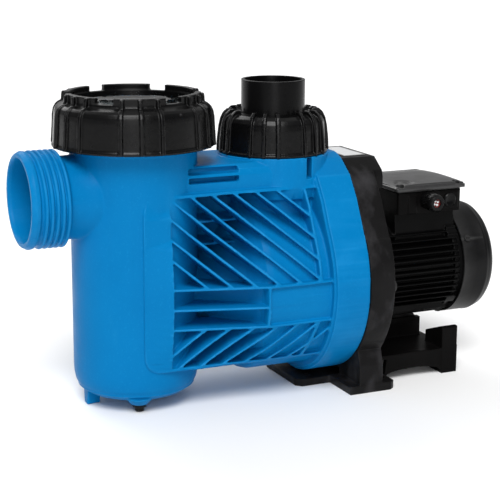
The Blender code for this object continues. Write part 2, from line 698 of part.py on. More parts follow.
def motor_shields():
    centre = (0, 0, SHAFT_Z)
    front = turned([(24.2, 100), (30, 100), (30, 97.4), (70, 97.4), (70, 108), (60, 111.7), (56.6, 111.7),
                    (56.6, 117), (50, 117), (46, 108), (30, 106), (27, 113), (24.2, 113)], centre, "X", 24)
    piece("front_end_shield", front, PAINT, "black_paint")
    end = FRAME_REAR + GAP
    rear = turned([(20.2, 242), (24, 242), (26, 250), (50, 250), (50, 240), (56.6, 240), (56.6, end),
                   (62, end), (62, 254), (24, 258), (20.2, 258)], centre, "X", 24)
    piece("rear_end_shield", rear, PAINT, "black_paint")
    piece("front_bearing", tube(23.9, 10.3, 98.5, 112.5, centre, "X", 20), STEEL, "bearing_steel")
    piece("rear_bearing", tube(19.9, 9.3, 244, 256, centre, "X", 20), STEEL, "bearing_steel")


def motor_inside(parent):
    centre = (0, 0, SHAFT_Z)
    piece("stator_core", tube(STATOR_R, 35, 135, 215, centre, "X", 24), STEEL, "lamination_steel")
    for name, low, high in (("front_winding", 121, 134.7), ("rear_winding", 215.3, 230)):
        outline = [(37, low + 2), (39, low), (50, low), (52, low + 2), (52, high), (37, high)]
        ring = turned(outline, centre, "X", 20)
        piece(name, ring, COPPER, "copper_winding")
    core = tube(34.5, 13.3, 135, 215, centre, "X", 24)
    piece("rotor_core", core, STEEL, "lamination_steel", centre, parent)
    shaft = turned([(0, 13), (5, 13), (5, 30), (8, 30), (8, 86), (10, 88), (10, 116), (13, 118), (13, 232),
                    (9, 234), (9, 257), (6.5, 258), (6.5, 282), (0, 282)], centre, "X", 14)
    piece("motor_shaft", shaft, STEEL, "stainless_steel", centre, parent)
    hub = turned([(6.8, 262), (12, 262), (15, 266), (54, 264), (54, 266), (15, 269), (12, 280), (6.8, 280)],
                 centre, "X", 20)
    for k in range(6):
        blade = box((265, 14, -0.9), (281, 56, 0.9))
        lift = Matrix.Translation((0, 0, SHAFT_Z * MM))
        blade.data.transform(lift @ Matrix.Rotation(2 * pi * k / 6, 4, "X"))
        joined(hub, blade)
    piece("cooling_fan", hub, BLACK, "black_plastic", centre, parent)


def fan_cover():
    """Sheet cover over the fan with ring slots in its rear face."""
    centre = (0, 0, SHAFT_Z)
    shell = turned([(FAN_COVER_R - 1.8, FAN_COVER_FRONT), (FAN_COVER_R, FAN_COVER_FRONT), (FAN_COVER_R, 285),
                    (66, FAN_END_X - 3), (58, FAN_END_X), (0, FAN_END_X), (0, FAN_END_X - 2),
                    (57.5, FAN_END_X - 2), (64.5, FAN_END_X - 5), (FAN_COVER_R - 1.8, 284)], centre, "X", 30)
    for inner, outer in ((20, 32), (40, 52)):
        ring = tube(outer, inner, FAN_END_X - 8, FAN_END_X + 3, centre, "X", 18)
        for k in range(3):
            bar = box((FAN_END_X - 7, -outer - 4, -2.2), (FAN_END_X + 5, outer + 4, 2.2))
            turn = Matrix.Rotation(pi * k / 3, 4, "X")
            bar.data.transform(Matrix.Translation((0, 0, SHAFT_Z * MM)) @ turn)
            cut(ring, bar)
        cut(shell, ring)
    lugs = [(FAN_COVER_R * cos(radians(a)), FAN_COVER_R * sin(radians(a))) for a in (150, 270, 30)]
    for y, z in lugs:
        cut(shell, radial_cylinder(y, z, 2.3, 60, 75, 10))
    piece("fan_cover", shell, PAINT, "black_paint")
    for index, (y, z) in enumerate(lugs, 1):
        head = radial_cylinder(y, z, 4, FAN_COVER_R + GAP, FAN_COVER_R + 2.8, 12)
        shank = radial_cylinder(y, z, 1.9, 63, FAN_COVER_R + 1, 10)
        piece(f"cover_screw_{index}", joined(head, shank), STEEL, "stainless_steel")


def radial_cylinder(y, z, r, low, high, steps):
    """A cylinder standing out from the shaft through (y, z), near the fan cover's front edge."""
    item = cylinder(r, low, high, (0, 0, 0), "Z", steps)
    turn = Vector((0, 0, 1)).rotation_difference(Vector((0, y, z)).normalized()).to_matrix().to_4x4()
    item.data.transform(Matrix.Translation(Vector((FAN_COVER_FRONT + 7, 0, SHAFT_Z)) * MM) @ turn)
    return item


def lid_corners():
    return [(x, y) for x in (BOX_LEFT + 5, BOX_RIGHT - 5) for y in (5 - BOX_HALF, BOX_HALF - 5)]


def terminal_box():
    """Junction box on the motor with its lid, gasket, screws and terminal block."""
    body = box((BOX_LEFT, -BOX_HALF, BOX_BASE), (BOX_RIGHT, BOX_HALF, BOX_TOP))
    cut(body, box((BOX_LEFT + 3, 3 - BOX_HALF, BOX_BASE + 3), (BOX_RIGHT - 3, BOX_HALF - 3, BOX_TOP + 5)))
    cut(body, box((186, -15, BOX_BASE - 5), (214, 15, BOX_BASE + 8)))
    for x, y in lid_corners():
        joined(body, cylinder(4.6, BOX_BASE + 1, BOX_TOP, (x, y, 0), "Z", 12))
        cut(body, cylinder(2, BOX_TOP - 12, BOX_TOP + 3, (x, y, 0), "Z", 8))
    cut(body, cylinder(8.4, -60, -45, (GLAND_X, 0, GLAND_Z), "Y", 20))
    cut(body, cylinder(6.4, -60, -45, (PLUG_X, 0, PLUG_Z), "Y", 16))
    piece("terminal_box", body, PAINT, "black_paint")

    gasket = box((BOX_LEFT + 0.5, 0.5 - BOX_HALF, BOX_TOP + GAP),
                 (BOX_RIGHT - 0.5, BOX_HALF - 0.5, BOX_TOP + 1.5))
    window = box((BOX_LEFT + 10, 10 - BOX_HALF, BOX_TOP - 1),
                 (BOX_RIGHT - 10, BOX_HALF - 10, BOX_TOP + 3))
    cut(gasket, window)
    base = BOX_TOP + 1.8
    plates = ((BOX_LEFT - 4, BOX_RIGHT + 5, 58, base), (BOX_LEFT - 4, BOX_RIGHT + 5, 58, base + 4),
              (BOX_LEFT + 2, BOX_RIGHT - 1, 50, base + 8), (BOX_LEFT + 16, BOX_RIGHT - 15, 32, base + 10))
    lid = loft([[(x0, -h, z), (x1, -h, z), (x1, h, z), (x0, h, z)] for x0, x1, h, z in plates])
    for x, y in lid_corners():
        cut(gasket, cylinder(2.3, BOX_TOP - 1, BOX_TOP + 3, (x, y, 0), "Z", 8))
        cut(lid, cylinder(2.3, base - 1, base + 12, (x, y, 0), "Z", 8))
        cut(lid, cylinder(4.6, base + 2.5, base + 14, (x, y, 0), "Z", 12))
    piece("terminal_gasket", gasket, RUBBER, "black_rubber")
    piece("terminal_lid", lid, PAINT, "black_paint", (202, 0, base))
    for index, (x, y) in enumerate(lid_corners(), 1):
        head = cylinder(3.9, base + 2.8, base + 5.4, (x, y, 0), "Z", 12)
        shank = cylinder(1.7, BOX_TOP - 10, base + 3, (x, y, 0), "Z", 8)
        piece(f"lid_screw_{index}", joined(head, shank), STEEL, "stainless_steel", (x, y, base))

    block = box((176, -20, BOX_BASE + 9), (226, 20, BOX_BASE + 16))
    joined(block, box((180, -18, BOX_BASE + 3 + GAP), (184, 18, BOX_BASE + 10)),
           box((218, -18, BOX_BASE + 3 + GAP), (222, 18, BOX_BASE + 10)))
    for x in (184, 201, 218):
        for y in (-11, 11):
            joined(block, cylinder(2.5, BOX_BASE + 15, BOX_BASE + 23, (x, y, 0), "Z", 8))
    piece("terminal_block", block, PHENOLIC, "phenolic")


def cable_gland():
    """Gland on the box's near wall: body, clamp nut and rubber seal round the cable way."""
    centre = (GLAND_X, 0, GLAND_Z)
    seat = -BOX_HALF - GAP
    body = turned([(5.6, -71), (7.6, -71), (7.6, -63), (10.5, -63), (10.5, seat), (8, seat),
                   (8, -47), (5.6, -47)], centre, "Y", 20)
    piece("cable_gland_body", body, BLACK, "black_plastic")
    nut = turned([(7.9, -63.4), (11, -63.4), (11, -75), (9, -79), (5, -79), (5, -77), (7.9, -74.8)],
                 centre, "Y", 20)
    piece("gland_nut", nut, BLACK, "black_plastic", (GLAND_X, -63.4, GLAND_Z))
    seal = tube(7.4, 3.6, -74.4, -71.3, centre, "Y", 20)
    piece("gland_seal", seal, RED_RUBBER, "red_rubber")
    seat = -BOX_HALF - GAP
    plug = turned([(0, -58.5), (7, -58.5), (8.2, -57.5), (8.2, seat), (6, seat), (6, -48), (0, -48)],
                  (PLUG_X, 0, PLUG_Z), "Y", 18)
    piece("blanking_plug", plug, BLACK, "black_plastic")


def main():
    clear_scene()
    shaft_line = axis_empty("shaft_axis", (0, 0, SHAFT_Z))
    ring_line = axis_empty("lock_ring_axis", (POT_X, 0, COLLAR_BASE))
    nut_line = axis_empty("union_nut_axis", (DISCHARGE_X, 0, NUT_BASE))
    strainer_pot()
    volute_casing()
    rib_panel("near_rib_panel", -1)
    rib_panel("far_rib_panel", 1)
    strainer_basket()
    pot_lid()
    lid_seal()
    lock_ring(ring_line)
    union_set(nut_line)
    drain_plug()
    wet_end_fixed()
    impeller(shaft_line)
    seal_parts(shaft_line)
    bell_housing()
    casing_bolts()
    label_plate()
    motor_support()
    motor_frame()
    motor_shields()
    motor_inside(shaft_line)
    fan_cover()
    terminal_box()
    cable_gland()


main()
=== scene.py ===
"""Looks of the pool pump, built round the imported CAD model.

Lengths in the constants and profiles are millimetres, and meshes are made in metres.
+X runs from the suction mouth to the motor's fan end, +Z is up, and the floor is z = 0.
Moulded parts are Boolean shapes that are remeshed and relaxed, so that every edge is round.
"""

from math import cos, hypot, pi, radians, sin, sqrt, tan

import bmesh
import bpy
from mathutils import Matrix, Vector


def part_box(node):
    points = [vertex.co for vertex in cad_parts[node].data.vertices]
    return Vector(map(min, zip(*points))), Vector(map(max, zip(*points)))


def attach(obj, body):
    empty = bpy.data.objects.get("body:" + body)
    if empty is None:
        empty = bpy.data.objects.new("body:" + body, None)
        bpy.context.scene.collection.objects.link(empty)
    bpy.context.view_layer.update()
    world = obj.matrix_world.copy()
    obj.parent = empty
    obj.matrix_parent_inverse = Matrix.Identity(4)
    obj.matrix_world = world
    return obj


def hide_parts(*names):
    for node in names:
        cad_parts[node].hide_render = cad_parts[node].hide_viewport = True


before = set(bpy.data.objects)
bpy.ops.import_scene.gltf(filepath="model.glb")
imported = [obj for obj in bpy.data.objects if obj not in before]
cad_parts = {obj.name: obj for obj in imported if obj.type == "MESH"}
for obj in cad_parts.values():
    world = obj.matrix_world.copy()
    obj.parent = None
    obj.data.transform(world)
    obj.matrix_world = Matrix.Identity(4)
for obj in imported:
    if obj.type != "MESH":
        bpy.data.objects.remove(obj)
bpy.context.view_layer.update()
MM = 0.001


def span(node):
    """Lowest and highest corner of a CAD node, in millimetres."""
    low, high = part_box(node)
    return low / MM, high / MM


def middle(node):
    low, high = span(node)
    return (low + high) / 2


# Places and sizes read from the frame
SHAFT_Z = middle("motor_shaft").z
POT_X = middle("pot_lid").x
POT_REAR = -87.3
POT_R = POT_REAR - POT_X
MOUTH_X = span("strainer_pot")[0].x
POT_TOP = span("strainer_pot")[1].z
COLLAR_BASE, CROWN_TOP = span("lock_ring")[0].z, span("lock_ring")[1].z
DISCHARGE_X = middle("discharge_stub").x
NUT_BASE = span("discharge_union_nut")[0].z
STUB_TOP = span("discharge_stub")[1].z
NECK_TOP = span("volute_casing")[1].z
RIM_REAR = span("volute_casing")[1].x
BELL_FRONT, BELL_REAR = RIM_REAR + 0.3, 118
BOX_BASE = span("terminal_box")[0].z
FAN_END_X = span("fan_cover")[1].x

# Volute, rim and ribbed sides; the shoulder's points are (y, z) from the shaft's line
RIM_R = 120
RIM_FRONT = 43
SHOULDER = [(105.5, 57.5), (95.5, 76), (82.2, 103), (64.1, 128.4), (41.2, 145), (28, 150)]
SUCTION_Z = 246
CAGE_LOW, CAGE_HIGH = 50, 251
CAGE_LEFT, CAGE_KINK, CAGE_RIGHT = -144, -38, 27
RIB = 2.8
RIB_SLOPE = 0.86
RIB_PITCH = 23
BOLT_CIRCLE = 109
PAST_SIDES = 140

# Terminal box
BOX_LEFT, BOX_RIGHT, BOX_HALF, BOX_TOP = 158, 247, 55, 230

# Axes, each given by a point on it
SHAFT = (0, 0, SHAFT_Z)
SUCTION = (0, 0, SUCTION_Z)
POT = (POT_X, 0, 0)
NECK = (DISCHARGE_X, 0, 0)
DRAIN = (*middle("pot_drain_plug").xy, 0)
GLAND = (199, 0, 218.7)
BLANKING_HOLE = (230, 0, 217.5)
CARRIER_SCREWS = [(0, y, 22) for y in (-38, 38)]

# Holes: pipe bore, casing bolt and carrier screw, as radii
PIPE_BORE = 33.8
BOLT_HOLE = 4.3
SCREW_HOLE = 3.3

# Edges of a moulded piece count as sharp above this angle, in degrees
MOULDED_SHARP = 60


# ------------ shapes

def solid(points, faces):
    """An object from points in millimetres and faces, with normals facing out."""
    mesh = bpy.data.meshes.new("shape")
    mesh.from_pydata([Vector(p) * MM for p in points], [], faces)
    shape = bmesh.new()
    shape.from_mesh(mesh)
    bmesh.ops.recalc_face_normals(shape, faces=shape.faces)
    bmesh.ops.connect_verts_nonplanar(shape, angle_limit=radians(0.5), faces=shape.faces)
    shape.to_mesh(mesh)
    shape.free()
    item = bpy.data.objects.new("shape", mesh)
    bpy.context.scene.collection.objects.link(item)
    return item


def along(axis, centre, r, angle, h):
    """The point at radius r, angle and height h about an axis through centre."""
    a, b = r * cos(angle), r * sin(angle)
    x, y, z = centre
    if axis == "X":
        return (h, y + a, z + b)
    if axis == "Y":
        return (x + b, h, z + a)
    return (x + a, y + b, h)


def bend(start, corner, end, steps):
    """A smooth curve from start to end, drawn towards the corner between them."""
    shares = [k / steps for k in range(steps + 1)]
    return [tuple(start * (1 - t) ** 2 + corner * 2 * t * (1 - t) + end * t ** 2) for t in shares]


def rounded(points, radius, steps=4, closed=True):
    """The outline with each corner turned to an arc, as large as its sides allow."""
    made = []
    count = len(points)
    for i, corner in enumerate(points):
        corner = Vector(corner)
        before, after = Vector(points[i - 1]) - corner, Vector(points[(i + 1) % count]) - corner
        repeated = min(before.length, after.length) < 1e-6
        fixed = repeated or abs(pi - before.angle(after)) < 0.05 or (not closed and i in (0, count - 1))
        if fixed:
            made.append(tuple(corner))
            continue
        half = before.angle(after) / 2
        reach = min(radius / tan(half), before.length * 0.48, after.length * 0.48)
        start, end = corner + before.normalized() * reach, corner + after.normalized() * reach
        made += bend(start, corner, end, steps)
    return made


def turned(profile, centre=(0, 0, 0), axis="Z", steps=96, edge=0):
    """Turn a profile of (radius, height) points about an axis, with its corners rounded by edge.

    A profile that starts and ends on the axis keeps those two points sharp.
    """
    if edge:
        profile = rounded(profile, edge, closed=all(r > 0 for r, h in profile))
    points, rings = [], []
    for r, h in profile:
        count = steps if r > 0 else 1
        rings.append(list(range(len(points), len(points) + count)))
        points += [along(axis, centre, r, 2 * pi * i / steps, h) for i in range(count)]
    faces = []
    for lower, upper in zip(rings, rings[1:] + rings[:1]):
        for i in range(steps):
            corners = [lower[i % len(lower)], lower[(i + 1) % len(lower)],
                       upper[(i + 1) % len(upper)], upper[i % len(upper)]]
            unique = list(dict.fromkeys(corners))
            if len(unique) > 2:
                faces.append(unique)
    return solid(points, faces)


def cylinder(r, low, high, centre=(0, 0, 0), axis="Z", steps=64, edge=0):
    return turned([(0, low), (r, low), (r, high), (0, high)], centre, axis, steps, edge)


def hexagon(across, low, high, centre):
    """Hexagonal head along X, given by its width across flats."""
    return cylinder(across / 2 / cos(pi / 6), low, high, centre, "X", 6)


def tube(outer, inner, low, high, centre=(0, 0, 0), axis="Z", steps=96, edge=0.4):
    return turned([(inner, low), (outer, low), (outer, high), (inner, high)], centre, axis, steps, edge)


def loft(sections):
    """Join equal loops of points, closing the first and the last with a face."""
    count = len(sections[0])
    points = [p for section in sections for p in section]
    faces = [list(range(count)), list(range(len(points) - count, len(points)))]
    for s in range(len(sections) - 1):
        for i in range(count):
            j = (i + 1) % count
            low = s * count
            faces.append([low + i, low + j, low + count + j, low + count + i])
    return solid(points, faces)


def prism(outline, low, high, axis="X", edge=0):
    """Extrude an outline: (y, z) pairs along X, (x, z) pairs along Y, (x, y) pairs along Z."""
    place = {"X": lambda a, b, h: (h, a, b), "Y": lambda a, b, h: (a, h, b), "Z": lambda a, b, h: (a, b, h)}
    flat = rounded(outline, edge) if edge else outline
    return loft([[place[axis](a, b, h) for a, b in flat] for h in (low, high)])


def box(low, high, edge=0):
    (x0, y0, z0), (x1, y1, z1) = low, high
    return prism([(x0, y0), (x1, y0), (x1, y1), (x0, y1)], z0, z1, "Z", edge)


def spun(item, angle, axis="X", centre=(0, 0, 0)):
    """Turn a shape about an axis through centre."""
    place = Vector(centre) * MM
    turn = Matrix.Rotation(angle, 4, axis)
    item.data.transform(Matrix.Translation(place) @ turn @ Matrix.Translation(-place))
    return item


def boolean(target, tool, operation):
    modifier = target.modifiers.new(operation, "BOOLEAN")
    modifier.object = tool
    modifier.operation = operation
    modifier.solver = "MANIFOLD"
    applied(target)
    bpy.data.objects.remove(tool, do_unlink=True)
    return target


def applied(item):
    """Give the object its evaluated mesh, so that no modifier is left."""
    view = bpy.context.evaluated_depsgraph_get()
    item.data = bpy.data.meshes.new_from_object(item.evaluated_get(view))
    item.modifiers.clear()
    return item


def joined(target, *tools):
    for tool in tools:
        boolean(target, tool, "UNION")
    return target


def cut(target, *tools):
    for tool in tools:
        boolean(target, tool, "DIFFERENCE")
    return target


def gathered(items):
    """Several closed shapes as one object, left as separate shells."""
    target = items[0]
    shape = bmesh.new()
    for item in items:
        shape.from_mesh(item.data)
    shape.to_mesh(target.data)
    shape.free()
    for item in items[1:]:
        bpy.data.objects.remove(item, do_unlink=True)
    return target


def moulded(item, voxel, passes, triangles):
    """Round every edge: remesh evenly, relax, then thin out what is flat."""
    coarse = 1
    even = item.modifiers.new("even", "REMESH")
    even.mode = "VOXEL"
    even.voxel_size = voxel * coarse * MM
    relax = item.modifiers.new("relax", "SMOOTH")
    relax.factor = 0.5
    relax.iterations = passes
    applied(item)
    thin = item.modifiers.new("thin", "DECIMATE")
    thin.ratio = min(1, triangles / (2 * len(item.data.polygons)))
    return applied(item)


def piece(name, item, body, nodes, look, sharp=40):
    """Name a finished shape, give it its material and let it stand for its CAD nodes."""
    item.name = name
    item.data.name = name
    item.data.materials.clear()
    item.data.materials.append(look.material)
    item.data.shade_smooth()
    item.data.set_sharp_from_angle(angle=radians(sharp))
    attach(item, body)
    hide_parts(*nodes)
    return item


# ------------ materials

class Look:
    """A procedural material built up from a few shared kinds of detail."""

    def __init__(self, name, colour, roughness, metallic=0, coat=0, gloss=0.5):
        self.material = bpy.data.materials.new(name)
        self.material.use_nodes = True
        self.tree = self.material.node_tree
        self.shader = self.tree.nodes["Principled BSDF"]
        self.colour, self.roughness = colour, roughness
        self.place = self.node("TexCoord").outputs["Object"]
        self.height = None
        self.set("Base Color", (*colour, 1))
        self.set("Roughness", roughness)
        self.set("Metallic", metallic)
        self.set("Coat Weight", coat)
        self.set("Specular IOR Level", gloss)

    def set(self, name, value):
        self.shader.inputs[name].default_value = value
        return self

    def link(self, source, target):
        self.tree.links.new(source, target)

    def node(self, kind, **values):
        """A new node with some of its inputs set; an underscore stands for the space in a name."""
        made = self.tree.nodes.new("ShaderNode" + kind)
        for name, value in values.items():
            made.inputs[name.replace("_", " ")].default_value = value
        return made

    def math(self, operation, first, second=None):
        """The result of a Math node on a socket and, where given, a second socket or a number."""
        made = self.node("Math")
        made.operation = operation
        self.link(first, made.inputs[0])
        if isinstance(second, float):
            made.inputs[1].default_value = second
        elif second is not None:
            self.link(second, made.inputs[1])
        return made.outputs[0]

    def noise(self, scale, detail=3, stretch=(1, 1, 1)):
        """Noise with features about 1 / scale metres across."""
        mapping = self.node("Mapping", Scale=stretch)
        self.link(self.place, mapping.inputs["Vector"])
        made = self.node("TexNoise", Scale=scale, Detail=detail)
        self.link(mapping.outputs["Vector"], made.inputs["Vector"])
        return made.outputs["Fac"]

    def wave(self, scale, axis="X", distortion=0):
        """Even bands across an axis."""
        made = self.node("TexWave", Scale=scale, Distortion=distortion)
        made.bands_direction = axis
        self.link(self.place, made.inputs["Vector"])
        return made.outputs["Fac"]

    def ranged(self, source, low, high, start=0.3, end=0.7):
        """Stretch the source's values from start and end to low and high."""
        made = self.node("MapRange", From_Min=start, From_Max=end, To_Min=low, To_Max=high)
        self.link(source, made.inputs["Value"])
        return made.outputs["Result"]

    def tinted(self, source, other, start=0.35, end=0.65):
        """Blend the base colour towards another where the source is high."""
        mix = self.node("Mix")
        mix.data_type = "RGBA"
        base = self.shader.inputs["Base Color"]
        if base.is_linked:
            self.link(base.links[0].from_socket, mix.inputs[6])
        else:
            mix.inputs[6].default_value = (*self.colour, 1)
        mix.inputs[7].default_value = (*other, 1)
        self.link(self.ranged(source, 0, 1, start, end), mix.inputs[0])
        self.link(mix.outputs[2], base)
        return self

    def wear_and_edge_sheen(self, other, start=0.54, end=0.66):
        """Lighten the raised edges towards a lighter colour, in patches: partly rubbed wear, partly a painted
        highlight along the edges.
        """
        edges = self.ranged(self.node("NewGeometry").outputs["Pointiness"], 0, 1, start, end)
        patches = self.ranged(self.noise(55, 4), 0.3, 1)
        return self.tinted(self.math("MULTIPLY", edges, patches), other, 0, 1)

    def uneven(self, source, spread):
        """Vary the roughness by a share on either side."""
        low, high = self.roughness * (1 - spread), self.roughness * (1 + spread)
        self.link(self.ranged(source, low, high), self.shader.inputs["Roughness"])
        return self

    def bumped(self, source, depth):
        """Raise the surface by depth millimetres where the source is high."""
        bump = self.node("Bump", Distance=depth * MM)
        self.link(source, bump.inputs["Height"])
        if self.height:
            self.link(self.height, bump.inputs["Normal"])
        self.height = bump.outputs["Normal"]
        self.link(self.height, self.shader.inputs["Normal"])
        return self


def moulded_look(name, colour, roughness, cloud, grain=0.05, spread=0.15, gloss=0.12, edge_highlight=None,
                 sharpness=0.54):
    """Injection-moulded plastic: slow colour clouds, pale edges (partly wear, partly a painted highlight), a
    fine grain and an uneven gloss.
    """
    look = Look(name, colour, roughness, gloss=gloss)
    look.tinted(look.noise(14, 4), cloud, 0.3, 0.75)
    # Raised edges are paled: partly wear, and where a pale edge colour is given, a painted highlight.
    look.wear_and_edge_sheen(edge_highlight or tuple(c * 2 + 0.012 for c in colour), sharpness, sharpness + 0.11)
    look.uneven(look.noise(45, 5), spread)
    look.bumped(look.noise(160, 2), grain * 2)
    look.bumped(look.noise(1400, 2), grain)
    return look


def blue_look():
    """Glass-filled blue polypropylene with faint pale flow marks and a fine orange peel."""
    # The pale edge colour below is a painted highlight on the rib and panel edges.
    look = moulded_look("blue_moulding", (0.0004, 0.15, 0.385), 0.36, (0.0008, 0.166, 0.415), 0.04,
                        gloss=0.045, edge_highlight=(0.03, 0.32, 0.68), sharpness=0.512)
    look.tinted(look.noise(420, 2), (0.006, 0.2, 0.46), 0.58, 0.95)
    look.tinted(look.noise(30, 6, (1, 1, 0.35)), (0.008, 0.195, 0.45), 0.62, 0.9)
    return look


def black_look():
    """Satin black collar plastic with a broad sheen."""
    # The pale edge colour below is a painted glint on the rib edges.
    look = moulded_look("black_moulding", (0.0015, 0.0015, 0.0016), 0.28, (0.003, 0.003, 0.0032), 0.05,
                        gloss=0.2, edge_highlight=(0.04, 0.04, 0.042), sharpness=0.52)
    look.tinted(look.noise(300, 3), (0.01, 0.01, 0.011), 0.62, 0.9)
    return look


def bell_look():
    """Rougher glass-filled black with pale swirls where the melt flowed."""
    look = moulded_look("glass_filled_black", (0.0035, 0.0034, 0.0035), 0.42, (0.008, 0.0077, 0.008),
                        0.09, 0.25, 0.1)
    look.tinted(look.noise(38, 7, (1, 1, 0.6)), (0.04, 0.039, 0.042), 0.5, 0.85)
    look.bumped(look.noise(60, 4), 0.25)
    return look


def paint_look():
    """Semi-gloss black paint on a casting, with slight runs and dust."""
    look = moulded_look("black_paint", (0.0015, 0.0015, 0.0016), 0.33, (0.003, 0.003, 0.003), 0.03,
                        gloss=0.08)
    look.tinted(look.noise(500, 3), (0.01, 0.01, 0.01), 0.66, 0.95)
    return look


def rubber_look(name, colour):
    look = Look(name, colour, 0.75)
    look.tinted(look.noise(60, 4), tuple(c * 1.6 + 0.004 for c in colour), 0.4, 0.8)
    look.wear_and_edge_sheen(tuple(c * 2.2 + 0.015 for c in colour))
    look.uneven(look.noise(120, 3), 0.12)
    look.bumped(look.noise(900, 2), 0.05)
    return look


def steel_look(name, stretch):
    """Stainless steel with fine turning marks along one direction."""
    look = Look(name, (0.6, 0.6, 0.61), 0.28, 1)
    marks = look.noise(900, 3, stretch)
    look.tinted(look.noise(90, 4), (0.5, 0.49, 0.48), 0.35, 0.75)
    look.wear_and_edge_sheen((0.78, 0.78, 0.78))
    look.uneven(marks, 0.3)
    look.bumped(marks, 0.02)
    return look


def lamination_look():
    look = Look("lamination_stack", (0.42, 0.42, 0.43), 0.4, 1)
    sheets = look.wave(320, "X")
    look.tinted(sheets, (0.16, 0.15, 0.15), 0.2, 0.8)
    look.wear_and_edge_sheen((0.6, 0.6, 0.6))
    look.uneven(look.noise(80, 3), 0.2)
    look.bumped(sheets, 0.1)
    return look


def copper_look():
    look = Look("varnished_copper", (0.45, 0.17, 0.06), 0.3, 1, 0.4)
    wires = look.wave(160, "DIAGONAL", 3)
    look.tinted(wires, (0.16, 0.05, 0.02), 0.25, 0.8)
    look.wear_and_edge_sheen((0.6, 0.28, 0.12))
    look.uneven(look.noise(70, 3), 0.25)
    look.bumped(wires, 0.4)
    return look


def clear_look():
    """Smoke-tinted polycarbonate of the pot's lid, with faint scuffs."""
    look = Look("clear_polycarbonate", (0.3, 0.33, 0.34), 0.05)
    look.tinted(look.noise(25, 4), (0.36, 0.39, 0.4), 0.35, 0.75)
    look.wear_and_edge_sheen((0.4, 0.43, 0.44))
    look.set("Transmission Weight", 1).set("IOR", 1.45)
    look.uneven(look.noise(60, 5), 0.6)
    look.bumped(look.noise(700, 2), 0.004)
    return look


def ceramic_look():
    look = Look("ceramic", (0.82, 0.8, 0.75), 0.18)
    look.tinted(look.noise(200, 4), (0.7, 0.68, 0.63), 0.4, 0.8)
    look.wear_and_edge_sheen((0.9, 0.89, 0.86))
    look.uneven(look.noise(300, 3), 0.3)
    look.bumped(look.noise(900, 2), 0.01)
    return look


def resin_look(name, colour, grain):
    return moulded_look(name, colour, 0.45, tuple(c * 1.5 for c in colour), grain)


def label_look(low, high):
    """Blank pale film with a dark printed border."""
    look = Look("label_film", (0.62, 0.63, 0.64), 0.35)
    look.tinted(look.noise(120, 3), (0.55, 0.56, 0.57), 0.35, 0.75)
    split = look.node("SeparateXYZ")
    look.link(look.place, split.inputs["Vector"])
    border, shares = 2.6 * MM, []
    for axis, name in enumerate("XY"):
        centre, half = (low[axis] + high[axis]) / 2 * MM, (high[axis] - low[axis]) / 2 * MM
        reach = look.math("ABSOLUTE", look.math("SUBTRACT", split.outputs[name], centre))
        shares.append(look.math("GREATER_THAN", reach, half - border))
    look.tinted(look.math("MAXIMUM", *shares), (0.03, 0.03, 0.032), 0, 1)
    look.wear_and_edge_sheen((0.75, 0.75, 0.75))
    look.uneven(look.noise(90, 3), 0.2)
    look.bumped(look.noise(800, 2), 0.01)
    return look


looks = {
    "blue": blue_look(),
    "black": black_look(),
    "satin": moulded_look("satin_black", (0.002, 0.002, 0.0022), 0.28, (0.004, 0.004, 0.0042), 0.02),
    "dull": moulded_look("dull_black", (0.0015, 0.0014, 0.0014), 0.42, (0.004, 0.0037, 0.0037), 0.06,
                         gloss=0.05),
    "bell": bell_look(),
    "paint": paint_look(),
    # The pale edge colour below is a painted highlight on the cover's edges.
    "shroud": moulded_look("shroud_paint", (0.003, 0.003, 0.0033), 0.33, (0.006, 0.006, 0.0063), 0.03,
                           gloss=0.15, edge_highlight=(0.05, 0.05, 0.05)),
    "lid": moulded_look("cover_paint", (0.022, 0.022, 0.0225), 0.33, (0.03, 0.03, 0.0305), 0.03, gloss=0.42),
    "rubber": rubber_look("black_rubber_seal", (0.012, 0.012, 0.012)),
    "red": rubber_look("red_rubber_seal", (0.22, 0.015, 0.012)),
    "steel": steel_look("turned_steel", (0.05, 1, 1)),
    "dark_steel": moulded_look("blackened_screws", (0.012, 0.012, 0.012), 0.35, (0.03, 0.03, 0.03), 0.03),
    "clear": clear_look(),
    "white": moulded_look("white_moulding", (0.78, 0.79, 0.79), 0.42, (0.7, 0.72, 0.72), 0.04),
    "ceramic": ceramic_look(),
    "carbon": resin_look("carbon_face", (0.02, 0.02, 0.021), 0.03),
    "impeller": resin_look("glass_filled_resin", (0.05, 0.05, 0.055), 0.1),
    "phenolic": resin_look("phenolic_block", (0.07, 0.025, 0.012), 0.05),
    "sheets": lamination_look(),
    "copper": copper_look(),
}


# ------------ blue casing

def rim_outline(inset=0, radius=RIM_R, steps=96):
    """Rim of the volute as (y, z): a circle below, straight shoulders rising to a flat top."""
    start, end = radians(-90), radians(28)
    right = [((radius - inset) * cos(a), (radius - inset) * sin(a))
             for a in (start + (end - start) * k / steps for k in range(steps + 1))]
    for y, z in SHOULDER:
        scale = 1 - inset / hypot(y, z)
        right.append((y * scale, z * scale))
    left = [(-y, z) for y, z in reversed(right[1:])]
    return [(y, SHAFT_Z + z) for y, z in rounded(right + left, 12)]


def on_rectangle(y, z, half_width, half_height, centre):
    """The point of a rectangle in the direction of (y, z) from its centre."""
    rise = z - centre
    reach = max(abs(y) / half_width, abs(rise) / half_height)
    return y / reach, centre + rise / reach


